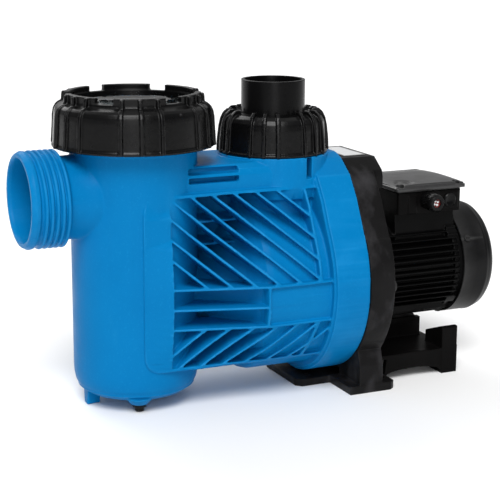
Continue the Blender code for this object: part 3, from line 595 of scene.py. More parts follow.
def side_envelope(inset):
    """Outer surface of the ribbed sides: proud of the pot, widening to the rim."""
    rim = rim_outline(inset)
    half_width, half_height, centre = POT_R + 8 - inset, 118, SHAFT_Z + 16
    side = [on_rectangle(y, z, half_width, half_height, centre) for y, z in rim]
    stations = [(POT_X - 16, side), (CAGE_KINK, rim), (RIM_FRONT + 3, rim)]
    envelope = loft([[(x, y, z) for y, z in section] for x, section in stations])
    left, right = CAGE_LEFT - 32, RIM_FRONT + 2
    corners = [(left, CAGE_LOW), (right, CAGE_LOW), (right, CAGE_HIGH), (left, CAGE_HIGH)]
    outline = []
    for k, corner in enumerate(corners):
        before, after = corners[k - 1], corners[(k + 1) % 4]
        outline += corner_arc(before, corner, after, 22) if corner[0] == left else [corner]
    return boolean(envelope, prism(outline, -PAST_SIDES, PAST_SIDES, "Y"), "INTERSECT")


def corner_arc(before, corner, after, radius, steps=8):
    """One rounded corner of an outline."""
    corner = Vector(corner)
    start = corner + (Vector(before) - corner).normalized() * radius
    end = corner + (Vector(after) - corner).normalized() * radius
    return bend(start, corner, end, steps)


def sloping_rib(x, z, slope, low, high):
    """A slab through (x, z) with the given slope, kept between two heights."""
    half = RIB / 2 * hypot(1, slope)
    (xa, za), (xb, zb) = [(x + (h - z) / slope, h) for h in (low, high)]
    outline = [(xa, za - half), (xb, zb - half), (xb, zb + half), (xa, za + half)]
    return prism(outline, -PAST_SIDES, PAST_SIDES, "Y")


def slab(x0, x1, z0, z1):
    """A block right through both sides."""
    return box((x0, -PAST_SIDES, z0), (x1, PAST_SIDES, z1))


def rib_lattice():
    """Falling ribs above, level ribs in the middle and rising ribs below, as slabs right through."""
    band_high, band_low = SHAFT_Z + 15, SHAFT_Z - 32
    band_middle, half = (band_high + band_low) / 2, RIB / 2
    end = RIM_FRONT + 2
    bars = [slab(CAGE_LEFT - 34, CAGE_LEFT, CAGE_LOW, CAGE_HIGH),
            slab(CAGE_LEFT - 1, end, CAGE_HIGH - 3.2, CAGE_HIGH),
            slab(CAGE_LEFT - 1, end, CAGE_LOW, CAGE_LOW + 3.5),
            slab(CAGE_LEFT - 1, end, band_high - half, band_high + half),
            slab(CAGE_LEFT - 1, end, band_low - half, band_low + half),
            slab(CAGE_LEFT - 1, CAGE_KINK, band_middle - half, band_middle + half),
            slab(CAGE_KINK - RIB, CAGE_KINK, band_low, band_high),
            slab(CAGE_RIGHT - RIB, CAGE_RIGHT, band_high, CAGE_HIGH - 1)]
    for k in range(-3, 6):
        z = SHAFT_Z + 117 + RIB_PITCH * k
        bars.append(sloping_rib(CAGE_LEFT, z, -RIB_SLOPE, band_high, CAGE_HIGH - 2))
    for k in range(7):
        x = POT_X + 52.6 + k * RIB_PITCH / RIB_SLOPE
        bars.append(sloping_rib(x, band_low, RIB_SLOPE, CAGE_LOW + 2, band_low))
    lean = [(CAGE_RIGHT - 4, band_low), (CAGE_RIGHT, band_low), (CAGE_RIGHT - 9, CAGE_LOW + 2),
            (CAGE_RIGHT - 13, CAGE_LOW + 2)]
    bars.append(prism(lean, -PAST_SIDES, PAST_SIDES, "Y"))
    lattice = joined(bars[0], *bars[1:])
    lattice = boolean(lattice, slab(CAGE_LEFT - 34, end, CAGE_LOW, CAGE_HIGH), "INTERSECT")
    open_channel = slab(CAGE_RIGHT + 0.1, RIM_FRONT + 5, band_high + RIB, CAGE_HIGH - 4.6)
    return cut(lattice, open_channel)


def ribbed_sides():
    """Both ribbed sides, with the plain panel set back a little between its bars."""
    ribs = boolean(rib_lattice(), side_envelope(6), "INTERSECT")
    panel = slab(CAGE_KINK - 1, RIM_FRONT + 2, SHAFT_Z - 31, SHAFT_Z + 14)
    panel = boolean(panel, side_envelope(10.5), "INTERSECT")
    sides = joined(ribs, panel)
    return cut(sides, box((CAGE_LEFT - 35, -44, CAGE_LOW - 1), (RIM_FRONT + 5, 44, CAGE_HIGH + 1)))


def suction_port():
    """Port with a plain chamfered lip, a round thread of five turns and a waist that flares to the pot."""
    root, crest, turns, pitch, first = 51.4, 55.4, 5, 6.4, MOUTH_X + 13
    port = turned([(0, POT_X), (51, POT_X), (50, -218), (48.5, -226), (47.5, -234), (47, -248),
                   (50, -250.5), (root, -253), (root, first - 2.6), (54.6, first - 3.6),
                   (55.2, MOUTH_X + 5), (52.4, MOUTH_X), (0, MOUTH_X)], SUCTION, "X", 120)
    facets, run_out = 60, 12
    steps = facets * turns
    sections = []
    for k in range(steps + 1):
        angle, h = 2 * pi * k / facets, first + pitch * k / facets
        fade = min(1, k / run_out, (steps - k) / run_out)
        top, buried = root + (crest - root) * max(0.15, fade), root - 1.5
        profile = [(buried, -2.9), (top - 0.6, -1.5), (top, -0.6), (top, 1), (top - 0.8, 1.8), (buried, 2.6)]
        sections.append([along("X", SUCTION, r, angle, h + shift) for r, shift in profile])
    return joined(port, loft(sections))


def pot_shell():
    """Strainer pot: plain cylinder with a round lower edge and a fine seam line above it."""
    profile = [(0, 14), (52, 14), (60, 15.8), (66.4, 20.6), (70.6, 28), (72.2, 36), (POT_R, 45),
               (POT_R, 296), (75, 300), (82, 303), (82, POT_TOP), (0, POT_TOP)]
    return joined(turned(profile, POT), tube(68.4, 50, 21.4, 22.6, POT, edge=0))


def pot_foot(angle):
    """A short foot on the pot's lower edge, wider at its top."""
    inner, outer = 47, 63
    sections = []
    for z, spread in ((0.4, 0.09), (19, 0.14)):
        corners = ((inner, -spread), (outer, -spread), (outer, spread), (inner, spread))
        sections.append([along("Z", POT, r, angle + turn, z) for r, turn in corners])
    return loft(sections)


def swelling_throat():
    """Inlet passage, wider than it is high at the pot and flaring into the round drum."""
    stations = ((-112, 26, 1.8), (-102, 29, 1.75), (-88, 38, 1.6), (-69, 55, 1.35), (-54, 74, 1.15),
                (-46, 92, 1.03), (-42, 98, 1))
    angles = [2 * pi * k / 96 for k in range(96)]
    sections = []
    for x, radius, width in stations:
        sections.append([(x, radius * width * cos(a), SHAFT_Z + radius * sin(a)) for a in angles])
    return loft(sections)


def casing():
    """Pot, port, volute, ribbed sides, rim and discharge neck, all one moulding."""
    drum = turned([(0, -44), (88, -44), (99, -42), (104.5, -37), (106.5, -30), (106.5, 50), (0, 50)],
                  (0, 0, SHAFT_Z - 2.5), "X", 144)
    throat = swelling_throat()
    core = joined(box((-100, -8, 60), (-30, 8, 262)), box((-112, -54, 41.5), (-20, 54, 75), 2))
    stem = cylinder(60, SHAFT_Z + 40, 245, NECK)
    shelves = [box((-100, -50, z), (-40, 50, z + 2.5)) for z in (92, 188, 214)]
    rim = prism(rim_outline(), RIM_FRONT, RIM_REAR, "X")
    flange = prism(rim_outline(3.5), RIM_FRONT - 2.5, RIM_FRONT + 1, "X")
    saddle = prism([(-59, 247), (59, 247), (59, 268), (57, 275), (50, 280), (-50, 280), (-57, 275),
                    (-59, 268)], -122, 10)
    upper = turned([(0, 235), (64, 235), (66.5, 250), (65.5, 262), (65.5, 283.3), (57, 283.3), (57, NECK_TOP),
                    (0, NECK_TOP)], NECK)
    boss = turned([(0, 9.6), (10, 9.6), (17, 18), (0, 18)], DRAIN)
    feet = [pot_foot(radians(a)) for a in (180, 108, 40)]
    body = joined(pot_shell(), suction_port(), drum, throat, core, stem, *shelves, ribbed_sides(), rim,
                  flange, saddle, upper, boss, *feet)

    basin = turned([(0, 21), (62, 21), (65.2, 22.6), (66, 26), (66, 326), (70, 326), (70, POT_TOP + 5),
                    (0, POT_TOP + 5)], POT)
    mouth = turned([(0, MOUTH_X - 5), (49, MOUTH_X - 5), (47.6, MOUTH_X + 1), (46.6, MOUTH_X + 4),
                    (45, POT_X), (0, POT_X)], SUCTION, "X")
    eye = cylinder(30, POT_X, -10, SHAFT, "X")
    chamber = turned([(0, -14), (86, -14), (86, 75.4), (96.3, 75.4), (96.3, RIM_REAR + 5), (0, RIM_REAR + 5)],
                     SHAFT, "X")
    outlet = cylinder(PIPE_BORE, 190, NECK_TOP + 5, NECK)
    slots = [box((-116, low, z), (-54, high, z + 7)) for low, high in on_both_sides(47, 70)
             for z in (261, 271)]
    slots += [box((29, low, 258), (37, high, 283)) for low, high in on_both_sides(38, 90)]
    cut(body, basin, mouth, eye, chamber, outlet, cylinder(4.6, 5, 30, DRAIN), *slots)
    for centre in bolt_places():
        cut(body, cylinder(BOLT_HOLE, 62, RIM_REAR + 5, centre, "X", 24))
    moulded(body, 1.0, 2, 190_000)
    nodes = ("strainer_pot", "volute_casing", "near_rib_panel", "far_rib_panel")
    piece("pump_moulding", body, "pump", nodes, looks["blue"], MOULDED_SHARP)


def on_both_sides(near, far):
    """The stretch from near to far on the negative side, and its mirror image, as (low, high)."""
    return [(-far, -near), (near, far)]


def bolt_places(circle=BOLT_CIRCLE):
    """Centres of the six casing bolts, or of what stands round them."""
    return [along("X", SHAFT, circle, radians(60 * k), 0) for k in range(6)]


# ------------ black collars and stub

def grip_angles(first, spacing):
    """Grip ribs stand in six groups of three, the first group round the given angle."""
    return [radians(first + 60 * group + spacing * k) for group in range(6) for k in (-1, 0, 1)]


def grip_rib(centre, angle, profile, half):
    """A plate of even thickness standing in a plane through the collar's axis."""
    out, side = Vector((cos(angle), sin(angle), 0)), Vector((-sin(angle), cos(angle), 0))
    sections = []
    for shift in (-half, half):
        place = Vector(centre) + side * shift
        sections.append([tuple(place + out * r + Vector((0, 0, z))) for r, z in profile])
    return loft(sections)


def lock_ring():
    """Threaded collar with bottom bead, grip ribs that run over its shoulder and a castellated crown."""
    base, first, tooth_half = COLLAR_BASE, -104, 22
    ring = turned([(83.2, base), (91.8, base), (92.6, base + 1.4), (92.4, base + 3), (91.2, base + 4.6),
                   (89.4, 336), (88.8, 341.5), (87.2, 345.6), (84.5, 348.4), (80, 350.4), (77.4, 352),
                   (76.9, 355), (70.2, 355), (70, 354), (70, 347), (83.2, 347)], POT, steps=180)
    rib = [(87, base + 0.5), (94.4, base + 0.5), (95, base + 2), (94.5, base + 6), (92.8, 335), (91.6, 342),
           (88.8, 347), (85.6, 350), (82, 351.4), (79, 351), (79, 345), (86, 338)]
    small = [(74, 349), (82.2, 349.5), (81.6, 358), (80.6, 361.4), (74, 361.4)]
    for k in range(6):
        arc = [radians(first + 60 * k - tooth_half + 2 * tooth_half * i / 16) for i in range(17)]
        outline = [(POT_X + 77 * cos(a), 77 * sin(a)) for a in arc]
        outline += [(POT_X + 70.6 * cos(a), 70.6 * sin(a)) for a in reversed(arc)]
        joined(ring, prism(outline, 353, CROWN_TOP, "Z"))
    for a in grip_angles(first, 14.5):
        joined(ring, grip_rib(POT, a, rib, 2.1), grip_rib(POT, a, small, 2))
    moulded(ring, 0.8, 2, 150_000)
    piece("lock_ring_moulding", ring, "collar", ["lock_ring"], looks["black"], MOULDED_SHARP)


def union_nut():
    """Union nut with a bottom bead and ribs that curl over its round shoulder."""
    base = NUT_BASE
    nut = turned([(57.7, base), (64.2, base), (64.9, base + 1.2), (64.7, base + 2.8), (62.6, base + 4),
                  (61.2, 314), (60.4, 321), (57.8, 326), (52.5, 329.4), (39, 330), (38.2, 329.2),
                  (38.2, 322.4), (57.7, 322.4)], NECK, steps=144)
    rib = [(60, base + 0.3), (66.6, base + 0.3), (67.1, base + 2), (66.3, 300), (64.6, 314), (62.6, 323),
           (59.2, 330), (54.6, 334), (49.5, 334.8), (46.2, 332.6), (46, 328), (55, 325), (59, 316)]
    for a in grip_angles(-124.8, 15):
        joined(nut, grip_rib(NECK, a, rib, 1.9))
    moulded(nut, 0.7, 2, 120_000)
    piece("union_nut_moulding", nut, "union_nut", ["discharge_union_nut"],
          looks["black"], MOULDED_SHARP)


def stub():
    """Pipe stub with the collar that the union nut holds down, and the seal under it."""
    pipe = turned([(PIPE_BORE, NECK_TOP + 2), (56.5, NECK_TOP + 2), (56.5, 322), (37.7, 322),
                   (37.7, STUB_TOP), (PIPE_BORE, STUB_TOP)], NECK, steps=144, edge=0.8)
    piece("pipe_stub", pipe, "stub", ["discharge_stub"], looks["satin"])
    seal_ring("union_seal", NECK, 45, 2.3, (NECK_TOP + 0.3, NECK_TOP + 1.7), "stub", "union_o_ring")


def seal_ring(name, centre, radius, half, heights, body, node):
    """A squeezed rubber ring between two flat faces."""
    low, high = heights
    ring = tube(radius + half, radius - half, low, high, centre, edge=0.6)
    piece(name, ring, body, [node], looks["rubber"])


# ------------ strainer

def lid():
    """Clear domed lid with concentric steps and a plug rim that reaches into the pot."""
    dome = turned([(0, 343.4), (30, 343.2), (58, 342.2), (64.5, 339.5), (66, 336), (66, 330), (69.4, 330),
                   (69.4, POT_TOP + 2), (81.5, POT_TOP + 2), (81.5, 346.5), (69.2, 346.5), (68.2, 349.2),
                   (52, 351), (50.5, 350.2), (30, 351.8), (28.5, 351), (0, 352.6)], POT, steps=144)
    piece("clear_cover", dome, "lid", ["pot_lid"], looks["clear"])
    seal_ring("lid_seal_ring", POT, 75, 2.3, (POT_TOP + 0.3, POT_TOP + 1.7), "pump", "lid_o_ring")


def basket():
    """Strainer basket with slots all round, hoops, a slotted floor and a bridge handle."""
    rows, columns, row_pitch, column_pitch = 7, 30, 23.4, 9.6
    floor_reach, slot_half = 46, 2.4
    shell = turned([(0, 152), (53, 152), (57.5, 326.4), (68.8, 326.4), (68.8, 329), (55.3, 329), (51, 154.2),
                    (0, 154.2)], POT)
    for row in range(rows):
        low = 160 + row_pitch * row
        for k in range(columns):
            slot = box((POT_X + 40, -3.4, low), (POT_X + 72, 3.4, low + 19))
            cut(shell, spun(slot, 2 * pi * k / columns, "Z", POT))
    for k in range(-4, 5):
        y = column_pitch * k
        reach = sqrt(floor_reach ** 2 - y ** 2)
        for low, high in on_both_sides(3, reach):
            cut(shell, box((POT_X + low, y - slot_half, 150), (POT_X + high, y + slot_half, 156)))
    cut(shell, cylinder(34, -235, -195, SUCTION, "X", 48))
    rise = [(POT_X - 57, 324), (POT_X - 40, 332), (POT_X + 40, 332), (POT_X + 57, 324), (POT_X + 57, 328),
            (POT_X + 40, 336), (POT_X - 40, 336), (POT_X - 57, 328)]
    joined(shell, prism(rise, -5, 5, "Y", 1))
    piece("basket_moulding", shell, "basket", ["strainer_basket"], looks["white"])


def drain_plug():
    """Short plug with a grooved head, and the seal ring above its flange."""
    plug = turned([(0, 1), (5, 1), (5, 6), (8, 6), (8, 8.1), (4.2, 8.1), (4.2, 22), (0, 22)], DRAIN, "Z",
                  48, 0.4)
    for k in range(12):
        notch = cylinder(0.7, 0, 5.5, (DRAIN[0] + 5.2, DRAIN[1], 0), "Z", 12)
        cut(plug, spun(notch, radians(30 * k), "Z", DRAIN))
    piece("drain_plug_moulding", plug, "drain_plug", ["pot_drain_plug"], looks["black"])
    seal_ring("drain_seal_ring", DRAIN, 6.05, 1.5, (8.4, 9.2), "drain_plug", "drain_plug_seal")


# ------------ bell and carrier

def bell_outline():
    """Back of the bell: the rim's outline brought in under the flat top block."""
    rim = rim_outline(0, 122)
    return [(y, min(z, SHAFT_Z + 134)) for y, z in rim if z < SHAFT_Z + 140]


def bell():
    """Black bracket between volute and motor, with a top block, two wide feet and a front tongue."""
    rear, plate = BELL_REAR, 97
    crown = [(-64, 240), (64, 240), (64, 255), (61, 264), (42.3, 276), (-42.3, 276), (-61, 264), (-64, 255)]
    tongue = [(29, -40), (36, -47), (rear, -47), (rear, 47), (36, 47), (29, 40)]
    body = joined(prism(bell_outline(), BELL_FRONT, rear, "X"), prism(crown, BELL_FRONT, 130.8, "X"),
                  prism(tongue, 0, 9, "Z"))
    for side in (-1, 1):
        foot = [(73.3, side * 46), (73.3, side * 100), (129, side * 100), (135, side * 95), (135, side * 46)]
        skirt = [(side * 46, 4), (side * 99, 4), (side * 98, 34), (side * 88, 62), (side * 46, 62)]
        joined(body, prism(foot, 0, 10, "Z"), prism(skirt, BELL_FRONT, rear, "X"))
        low, high = sorted((side * 62, side * 92))
        cut(body, box((100, low, 16), (rear + 1, high, 34), 3))
        cut(body, cylinder(4.5, -5, 15, (125, side * 80, 0)), cylinder(3, -5, 15, (50, side * 30, 0)))
    cut(body, cylinder(100, plate, rear + 2, SHAFT, "X", 96), cylinder(72, plate, 135, SHAFT, "X", 96),
        cylinder(36, 80, 100, SHAFT, "X", 64))
    for k in range(6):
        web = box((94, 70.6, SHAFT_Z - 2.5), (rear - 3, 101, SHAFT_Z + 2.5))
        joined(body, spun(web, radians(30 + 60 * k), "X", SHAFT))
    for boss, bolt in zip(bolt_places(BOLT_CIRCLE * 0.985), bolt_places()):
        joined(body, cylinder(10, 95, rear - 0.3, boss, "X", 32))
        cut(body, cylinder(BOLT_HOLE, 80, rear + 5, bolt, "X", 24))
    for centre in CARRIER_SCREWS:
        cut(body, cylinder(SCREW_HOLE, 99, rear + 5, centre, "X", 20))
    trim = prism(rim_outline(0, 121.6), BELL_FRONT, 200, "X")
    feet = box((20, -101, -1), (140, 101, 62.5))
    boolean(body, joined(trim, feet), "INTERSECT")
    moulded(body, 0.9, 3, 170_000)
    piece("bell_moulding", body, "pump", ["bell_housing"], looks["bell"],
          MOULDED_SHARP)


def casing_bolts():
    """Bolts with a washer face under a chamfered hexagon."""
    seat = BELL_REAR
    for index, centre in enumerate(bolt_places(), 1):
        shank = cylinder(3.9, 64, seat + 1, centre, "X", 32)
        washer = cylinder(7.2, seat + 0.3, seat + 1.3, centre, "X", 48, 0.2)
        dome = turned([(0, seat + 0.5), (8, seat + 0.5), (8, seat + 5), (6.2, seat + 6), (0, seat + 6)],
                      centre, "X", 48)
        head = boolean(hexagon(13, seat + 0.8, seat + 6.5, centre), dome, "INTERSECT")
        piece(f"hex_bolt_{index}", joined(shank, washer, head), "pump",
              [f"casing_bolt_{index}"], looks["dark_steel"])


def carrier():
    """Arched rear carrier with a shelf, a central web under the motor and two cradle posts."""
    left, right = 127, 226
    body = joined(box((left - 1.5, -69, 27), (right + 8, 69, 32)), box((118.3, -44, 12.5), (left, 44, 31.5)))
    arch = [(137, 6), (143, 8.4), (152, 10.6), (163, 11.8), (175, 12.2), (188, 12), (200, 11), (210, 9),
            (220, 5)]
    outline = arch + [(222, 28), (206, 31.8), (184, 32.6), (160, 32), (140, 28)]
    for side in (-1, 1):
        low, high = sorted((side * 62, side * 69))
        post = [(side * 30, 4), (side * 38, 0), (side * 71, 0), (side * 70, 58.5), (side * 66, 60),
                (side * 30, 46.5)]
        joined(body, prism(outline, low, high, "Y"), prism(post, 218, 240, "X"))
    joined(body, box((132, -4, 30), (right, 4, 56)), box((150, -16, 54), (212, 16, 61.5)))
    for centre in CARRIER_SCREWS:
        cut(body, cylinder(SCREW_HOLE, 110, 130, centre, "X", 20))
    moulded(body, 0.8, 3, 110_000)
    piece("carrier_moulding", body, "pump", ["motor_support"], looks["dull"],
          MOULDED_SHARP)
    for index, centre in enumerate(CARRIER_SCREWS, 1):
        shank = cylinder(2.9, 101, left + 0.4, centre, "X", 24)
        head = hexagon(9, left + 0.3, left + 5, centre)
        piece(f"carrier_screw_{index}", joined(shank, head), "pump",
              [f"support_screw_{index}"], looks["steel"])


# ------------ motor

def frame_barrel():
    """Cast barrel with level fins on its sides, upright fins below, bosses at its ends and a pedestal."""
    front, rear, joint = 112, 245, BOX_BASE - 0.3
    barrel = cylinder(60, front, rear, SHAFT, "X", 120)
    for low, high in ((front, front + 6), (rear - 8, rear - 1)):
        joined(barrel, cylinder(64.5, low, high, SHAFT, "X", 120))
    fin_pitch, fin_half, fin_tip, left, right = 7.4, 0.9, 68.3, front + 3, rear - 3
    for k in range(-6, 7):
        offset = fin_pitch * k
        reach, low, high = sqrt(fin_tip ** 2 - offset ** 2), offset - fin_half, offset + fin_half
        joined(barrel, box((left, -reach, SHAFT_Z + low), (right, reach, SHAFT_Z + high)))
        if abs(k) < 6:
            joined(barrel, box((left, low, SHAFT_Z - reach), (right, high, SHAFT_Z)))
    for low, high in on_both_sides(50, 67.5):
        for x0, x1 in ((front, front + 12), (rear - 14, rear)):
            joined(barrel, box((x0, low, SHAFT_Z - 50), (x1, high, SHAFT_Z - 38), 1))
            joined(barrel, box((x0, low * 0.8, SHAFT_Z + 38), (x1, high * 0.8, SHAFT_Z + 50), 1))
    pedestal = [(-48, SHAFT_Z + 30), (48, SHAFT_Z + 30), (44, joint), (-44, joint)]
    joined(barrel, prism(pedestal, 160, 244, "X"))
    bore = turned([(0, front - 5), (57, front - 5), (57, 118), (54.3, 118), (54.3, 232), (57, 232),
                   (57, rear + 5), (0, rear + 5)], SHAFT, "X", 96)
    round_trim = turned([(0, front), (68.4, front), (68.4, rear), (0, rear)], SHAFT, "X", 120)
    top = box((150, -50, SHAFT_Z + 20), (rear - 0.5, 50, joint))
    boolean(barrel, joined(round_trim, top), "INTERSECT")
    cut(barrel, bore, box((185, -16, SHAFT_Z + 40), (215, 16, BOX_BASE + 5)))
    moulded(barrel, 0.8, 2, 180_000)
    piece("barrel_casting", barrel, "pump", ["motor_frame"], looks["paint"], MOULDED_SHARP)


def fan_shroud():
    """Sheet cover with a rolled rear edge, ring slots in its end face and three screws."""
    front, end, outer = 247.3, FAN_END_X, 69.9
    inner, bead = outer - 1.8, outer + 0.5
    shell = turned([(inner, front), (outer, front), (outer, 277.6), (bead, 278.6), (bead, 280.6),
                    (outer - 0.3, 281.6), (69.1, 284.5), (67.6, 288.4), (64.6, 291.6), (60.6, 293.6),
                    (56.5, end - 0.5), (40, end), (0, end), (0, end - 2), (56, end - 2.4), (59.8, 291.7),
                    (63.4, 289.9), (66, 287.4), (67.6, 284), (inner, 280)], SHAFT, "X", 144)
    for narrow, wide in ((14, 19), (24, 29), (34, 39), (44, 49), (53, 56.5)):
        ring = tube(wide, narrow, end - 8, end + 3, SHAFT, "X", 72, 0)
        for k in range(3):
            bar = box((end - 9, -60, SHAFT_Z - 2), (end + 5, 60, SHAFT_Z + 2))
            cut(ring, spun(bar, pi * k / 3, "X", SHAFT))
        cut(shell, ring)
    for (low, high), tilt in zip(on_both_sides(69.3, 72), (18, -18)):
        seam = box((front + 4, low, SHAFT_Z + 21), (front + 22, high, SHAFT_Z + 22))
        cut(shell, spun(seam, radians(tilt), "X", SHAFT))
    angles = [radians(a) for a in (150, 270, 30)]
    for a in angles:
        cut(shell, radial_cylinder(a, 2.3, 60, 75))
    piece("fan_shroud", shell, "pump", ["fan_cover"], looks["shroud"])
    for index, a in enumerate(angles, 1):
        head = radial_cylinder(a, 4, 70.2, 72.6)
        cross = box((front + 4.2, -0.5, 71.6), (front + 9.8, 0.5, 74))
        cut(head, placed_radially(cross, a))
        screw = joined(head, radial_cylinder(a, 1.9, 63, 70.9))
        piece(f"shroud_screw_{index}", screw, "pump", [f"cover_screw_{index}"],
              looks["dark_steel"])


def placed_radially(item, angle):
    """Turn a shape that stands on the shaft's line up Z to the given angle from Y."""
    turn = Matrix.Rotation(angle - pi / 2, 4, "X")
    item.data.transform(Matrix.Translation((0, 0, SHAFT_Z * MM)) @ turn)
    return item


def radial_cylinder(angle, r, low, high):
    """A round bar that points outwards from the shaft, in the plane of the shroud's screws."""
    return placed_radially(cylinder(r, low, high, (254.3, 0, 0), "Z", 32, 0.3), angle)


def lid_corners():
    """Places of the four cover screws, 5 mm inside the box's walls."""
    x_places, y_places = (BOX_LEFT + 5, BOX_RIGHT - 5), (5 - BOX_HALF, BOX_HALF - 5)
    return [(x, y) for x in x_places for y in y_places]


def lid_crown(base):
    """Low dome of the box cover, fullest on the screw side and running out to the far edge."""
    left, length, half, height = 155.5, 95, 54.5, 6
    sections = []
    for i in range(17):
        x = left + length * i / 16
        fullness = 1 - 0.7 * ((x - 205) / 50) ** 4
        section = [(x, -half, base + 2)]
        for j in range(19):
            y = -half + 2 * half * j / 18
            past_ridge = y + 3
            fall = 1.8 * (past_ridge / 47) ** 2 if past_ridge < 0 else height * (past_ridge / 58) ** 2
            section.append((x, y, base + 4 + fullness * (height - fall)))
        sections.append(section + [(x, half, base + 2)])
    return loft(sections)


def terminal_box():
    """Junction box: walls with corner posts, gasket, raised lid with arcs round one screw."""
    left, right, half, low, top = BOX_LEFT, BOX_RIGHT, BOX_HALF, BOX_BASE, BOX_TOP
    body = box((left, -half, low), (right, half, top), 3)
    inside = box((left + 3, 3 - half, low + 3), (right - 3, half - 3, top + 5), 1)
    cut(body, inside, box((186, -15, low - 5), (214, 15, low + 8)))
    for x, y in lid_corners():
        joined(body, cylinder(4.6, low + 1, top, (x, y, 0), "Z", 24))
        cut(body, cylinder(2, top - 12, top + 3, (x, y, 0), "Z", 20))
    joined(body, box((172, -56.4, low + 1), (184, -54, top - 4), 0.8),
           box((216, -55.8, low + 5), (243, -54, top - 3), 2))
    cut(body, cylinder(8.4, -60, -45, GLAND, "Y", 32), cylinder(6.4, -60, -45, BLANKING_HOLE, "Y", 32))
    moulded(body, 0.7, 2, 90_000)
    piece("junction_box", body, "pump", ["terminal_box"], looks["dull"], MOULDED_SHARP)

    gasket = box((left + 0.5, 0.5 - half, top + 0.3), (right - 0.5, half - 0.5, top + 1.5), 2)
    cut(gasket, box((left + 10, 10 - half, top - 1), (right - 10, half - 10, top + 3), 1))
    base = top + 1.8
    skirt = [(154, -56), (156, -58), (250, -58), (252, -56), (252, 56), (250, 58), (156, 58), (154, 56)]
    cover = prism(skirt, base, base + 4.2, "Z")
    joined(cover, lid_crown(base))
    x, y = lid_corners()[0]
    for k, floor in enumerate((6.3, 7.1, 7.6, 7.9)):
        groove = tube(13 + 4 * k, 11.5 + 4 * k, base + floor, base + 12, (x, y, 0), "Z", 64, 0)
        boolean(groove, box((x - 1, y - 1, base), (x + 39, y + 40, base + 20)), "INTERSECT")
        cut(cover, groove)
    for x, y in lid_corners():
        cut(gasket, cylinder(2.3, top - 1, top + 3, (x, y, 0), "Z", 20))
        cut(cover, cylinder(2.3, base - 1, base + 12, (x, y, 0), "Z", 20))
        cut(cover, cylinder(5, base + 1.6, base + 14, (x, y, 0), "Z", 32))
    moulded(cover, 0.6, 1, 110_000)
    piece("box_cover", cover, "box_lid", ["terminal_lid"], looks["lid"], MOULDED_SHARP)
    piece("box_gasket", gasket, "pump", ["terminal_gasket"], looks["rubber"])
    for index, (x, y) in enumerate(lid_corners(), 1):
        head = cylinder(3.9, base + 1.9, base + 4.1, (x, y, 0), "Z", 32, 0.4)
        for turn in (0, pi / 2):
            slot = box((x - 2.6, y - 0.5, base + 3), (x + 2.6, y + 0.5, base + 8))
            cut(head, spun(slot, turn, "Z", (x, y, 0)))
        screw = joined(cylinder(1.7, top - 10, base + 2.2, (x, y, 0), "Z", 24), head)
        piece(f"cover_corner_screw_{index}", screw, "box_lid", [f"lid_screw_{index}"],
              looks["dark_steel"])


def cable_gland():
    """Gland body, grooved clamp nut, red seal with four pale core ends, and the cap beside it."""
    x, _, z = GLAND
    body = turned([(5.6, -71), (7.6, -71), (7.6, -63), (10.5, -63), (10.5, -55.3), (8, -55.3), (8, -47),
                   (5.6, -47)], GLAND, "Y", 48, 0.3)
    piece("gland_sleeve", body, "pump", ["cable_gland_body"], looks["satin"])
    nut = turned([(7.9, -63.4), (10.6, -63.4), (11, -64.2), (11, -74.2), (10.4, -77), (8.6, -79), (5.4, -79),
                  (5, -78.5), (5, -77), (7.9, -74.8)], GLAND, "Y", 96)
    for k in range(12):
        groove = cylinder(0.9, -76, -60, (x, 0, z + 11.3), "Y", 12)
        cut(nut, spun(groove, radians(30 * k), "Y", GLAND))
    piece("gland_clamp", nut, "clamp_nut", ["gland_nut"], looks["satin"])
    seal = tube(7.4, 5, -74.4, -71.3, GLAND, "Y", 48)
    joined(seal, cylinder(6, -73.6, -72, GLAND, "Y", 48))
    cores = []
    for k in range(4):
        a = radians(90 * k + 30)
        hole = (x + 2.7 * cos(a), 0, z + 2.7 * sin(a))
        cut(seal, cylinder(1.6, -80, -60, hole, "Y", 24))
        cores.append(cylinder(1.4, -75.6, -71.5, hole, "Y", 24, 0.2))
    piece("gland_grommet", seal, "pump", ["gland_seal"], looks["red"])
    piece("core_ends", gathered(cores), "pump", [], looks["white"])
    plug = turned([(0, -58), (5.6, -58), (6.2, -58.5), (7.2, -58.5), (8.2, -57.6), (8.2, -55.3),
                   (6, -55.3), (6, -48), (0, -48)], BLANKING_HOLE, "Y", 48)
    piece("blanking_cap", plug, "pump", ["blanking_plug"], looks["satin"])


def label():
    """Blank plate on the bell's top."""
    low, high = span("label_plate")
    plate = box(low, high, 1.5)
    piece("blank_label", plate, "pump", ["label_plate"], label_look(low, high))


# ------------ parts kept from the frame

def kept_parts():
    """Inside parts keep their CAD shape and get a material each."""
    wanted = {"dull": ["guide_ring", "seal_cover", "cooling_fan"], "rubber": ["casing_o_ring",
                                                                              "shaft_slinger"],
              "impeller": ["impeller"], "carbon": ["seal_head"], "ceramic": ["seal_seat"],
              "steel": ["impeller_nut", "seal_spring", "front_bearing", "rear_bearing", "motor_shaft"],
              "paint": ["front_end_shield", "rear_end_shield"], "sheets": ["stator_core", "rotor_core"],
              "copper": ["front_winding", "rear_winding"], "phenolic": ["terminal_block"]}
    for look, names in wanted.items():
        for name in names:
            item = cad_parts[name]
            for place in item.material_slots:
                place.material = looks[look].material
            bevel = item.modifiers.new("edges", "BEVEL")
            bevel.width = 0.25 * MM
            bevel.segments = 2
            bevel.angle_limit = radians(35)
            bevel.use_clamp_overlap = True


# ------------ stage

def pale_floor():
    """A wide plain floor, almost white."""
    half, thickness = 15_000, 20
    floor = box((-half, -half, -thickness), (half, half, 0))
    floor.name = "floor"
    look = Look("floor_paint", (0.96, 0.96, 0.96), 0.8)
    look.tinted(look.noise(2, 2), (0.94, 0.94, 0.94), 0.3, 0.8)
    floor.data.materials.append(look.material)


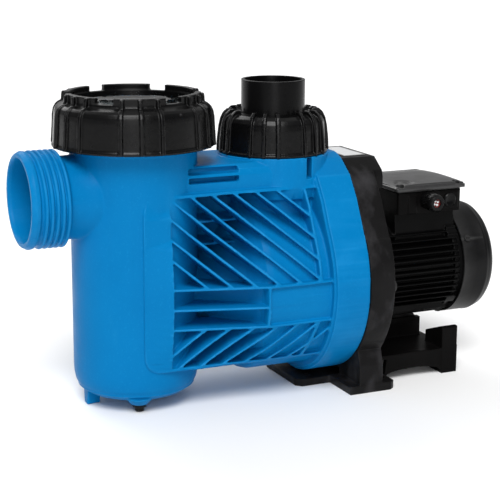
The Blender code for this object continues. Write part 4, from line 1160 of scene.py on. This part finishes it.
def soft_surroundings():
    """A pale sky that is brightest overhead and behind the pump."""
    world = bpy.data.worlds.new("studio")
    world.use_nodes = True
    bpy.context.scene.world = world
    nodes, links = world.node_tree.nodes, world.node_tree.links
    place = nodes.new("ShaderNodeTexCoord")
    aim = nodes.new("ShaderNodeVectorMath")
    aim.operation = "DOT_PRODUCT"
    aim.inputs[1].default_value = (0.2, 0.45, 0.87)
    links.new(place.outputs["Generated"], aim.inputs[0])
    ramp = nodes.new("ShaderNodeValToRGB")
    ramp.color_ramp.elements[0].color = (0.14, 0.143, 0.15, 1)
    ramp.color_ramp.elements[1].color = (1, 1, 1, 1)
    links.new(aim.outputs["Value"], ramp.inputs["Fac"])
    background = nodes["Background"]
    links.new(ramp.outputs["Color"], background.inputs["Color"])
    background.inputs["Strength"].default_value = 0.66


def soft_sun(name, direction, spread, strength):
    """A broad even light from a direction, as from a large softbox."""
    data = bpy.data.lights.new(name, "SUN")
    data.angle = radians(spread)
    data.energy = strength
    item = bpy.data.objects.new(name, data)
    item.rotation_euler = Vector(direction).to_track_quat("Z", "Y").to_euler()
    bpy.context.scene.collection.objects.link(item)


def long_lens_camera():
    """Seen from 25 degrees left of square-on and 13 degrees above, through a long lens."""
    turn, rise, roll = radians(-24.79), radians(13.09), radians(0.31)
    back = Vector((sin(turn) * cos(rise), -cos(turn) * cos(rise), sin(rise)))
    right = Vector((cos(turn), sin(turn), 0))
    up = back.cross(right)
    side, top = right * cos(roll) + up * sin(roll), up * cos(roll) - right * sin(roll)
    data = bpy.data.cameras.new("camera")
    data.lens = 102.66
    data.sensor_width = 36
    data.clip_end = 100
    data.dof.use_dof = False
    item = bpy.data.objects.new("camera", data)
    item.matrix_world = Matrix((side, top, back)).transposed().to_4x4()
    item.location = Vector((-0.0131, 0, 0.1643)) + back * 1.711
    bpy.context.scene.collection.objects.link(item)
    bpy.context.scene.camera = item


casing()
lock_ring()
union_nut()
stub()
lid()
basket()
drain_plug()
bell()
casing_bolts()
carrier()
frame_barrel()
fan_shroud()
terminal_box()
cable_gland()
label()
kept_parts()
pale_floor()
soft_surroundings()
soft_sun("key", (-0.42, -0.86, 1.15), 30, 2.6)
soft_sun("fill", (-0.3, -0.9, 0.32), 35, 0.75)
soft_sun("back", (-0.1, 0.9, 0.7), 40, 1.0)
long_lens_camera()
bpy.context.scene.view_settings.view_transform = "Standard"
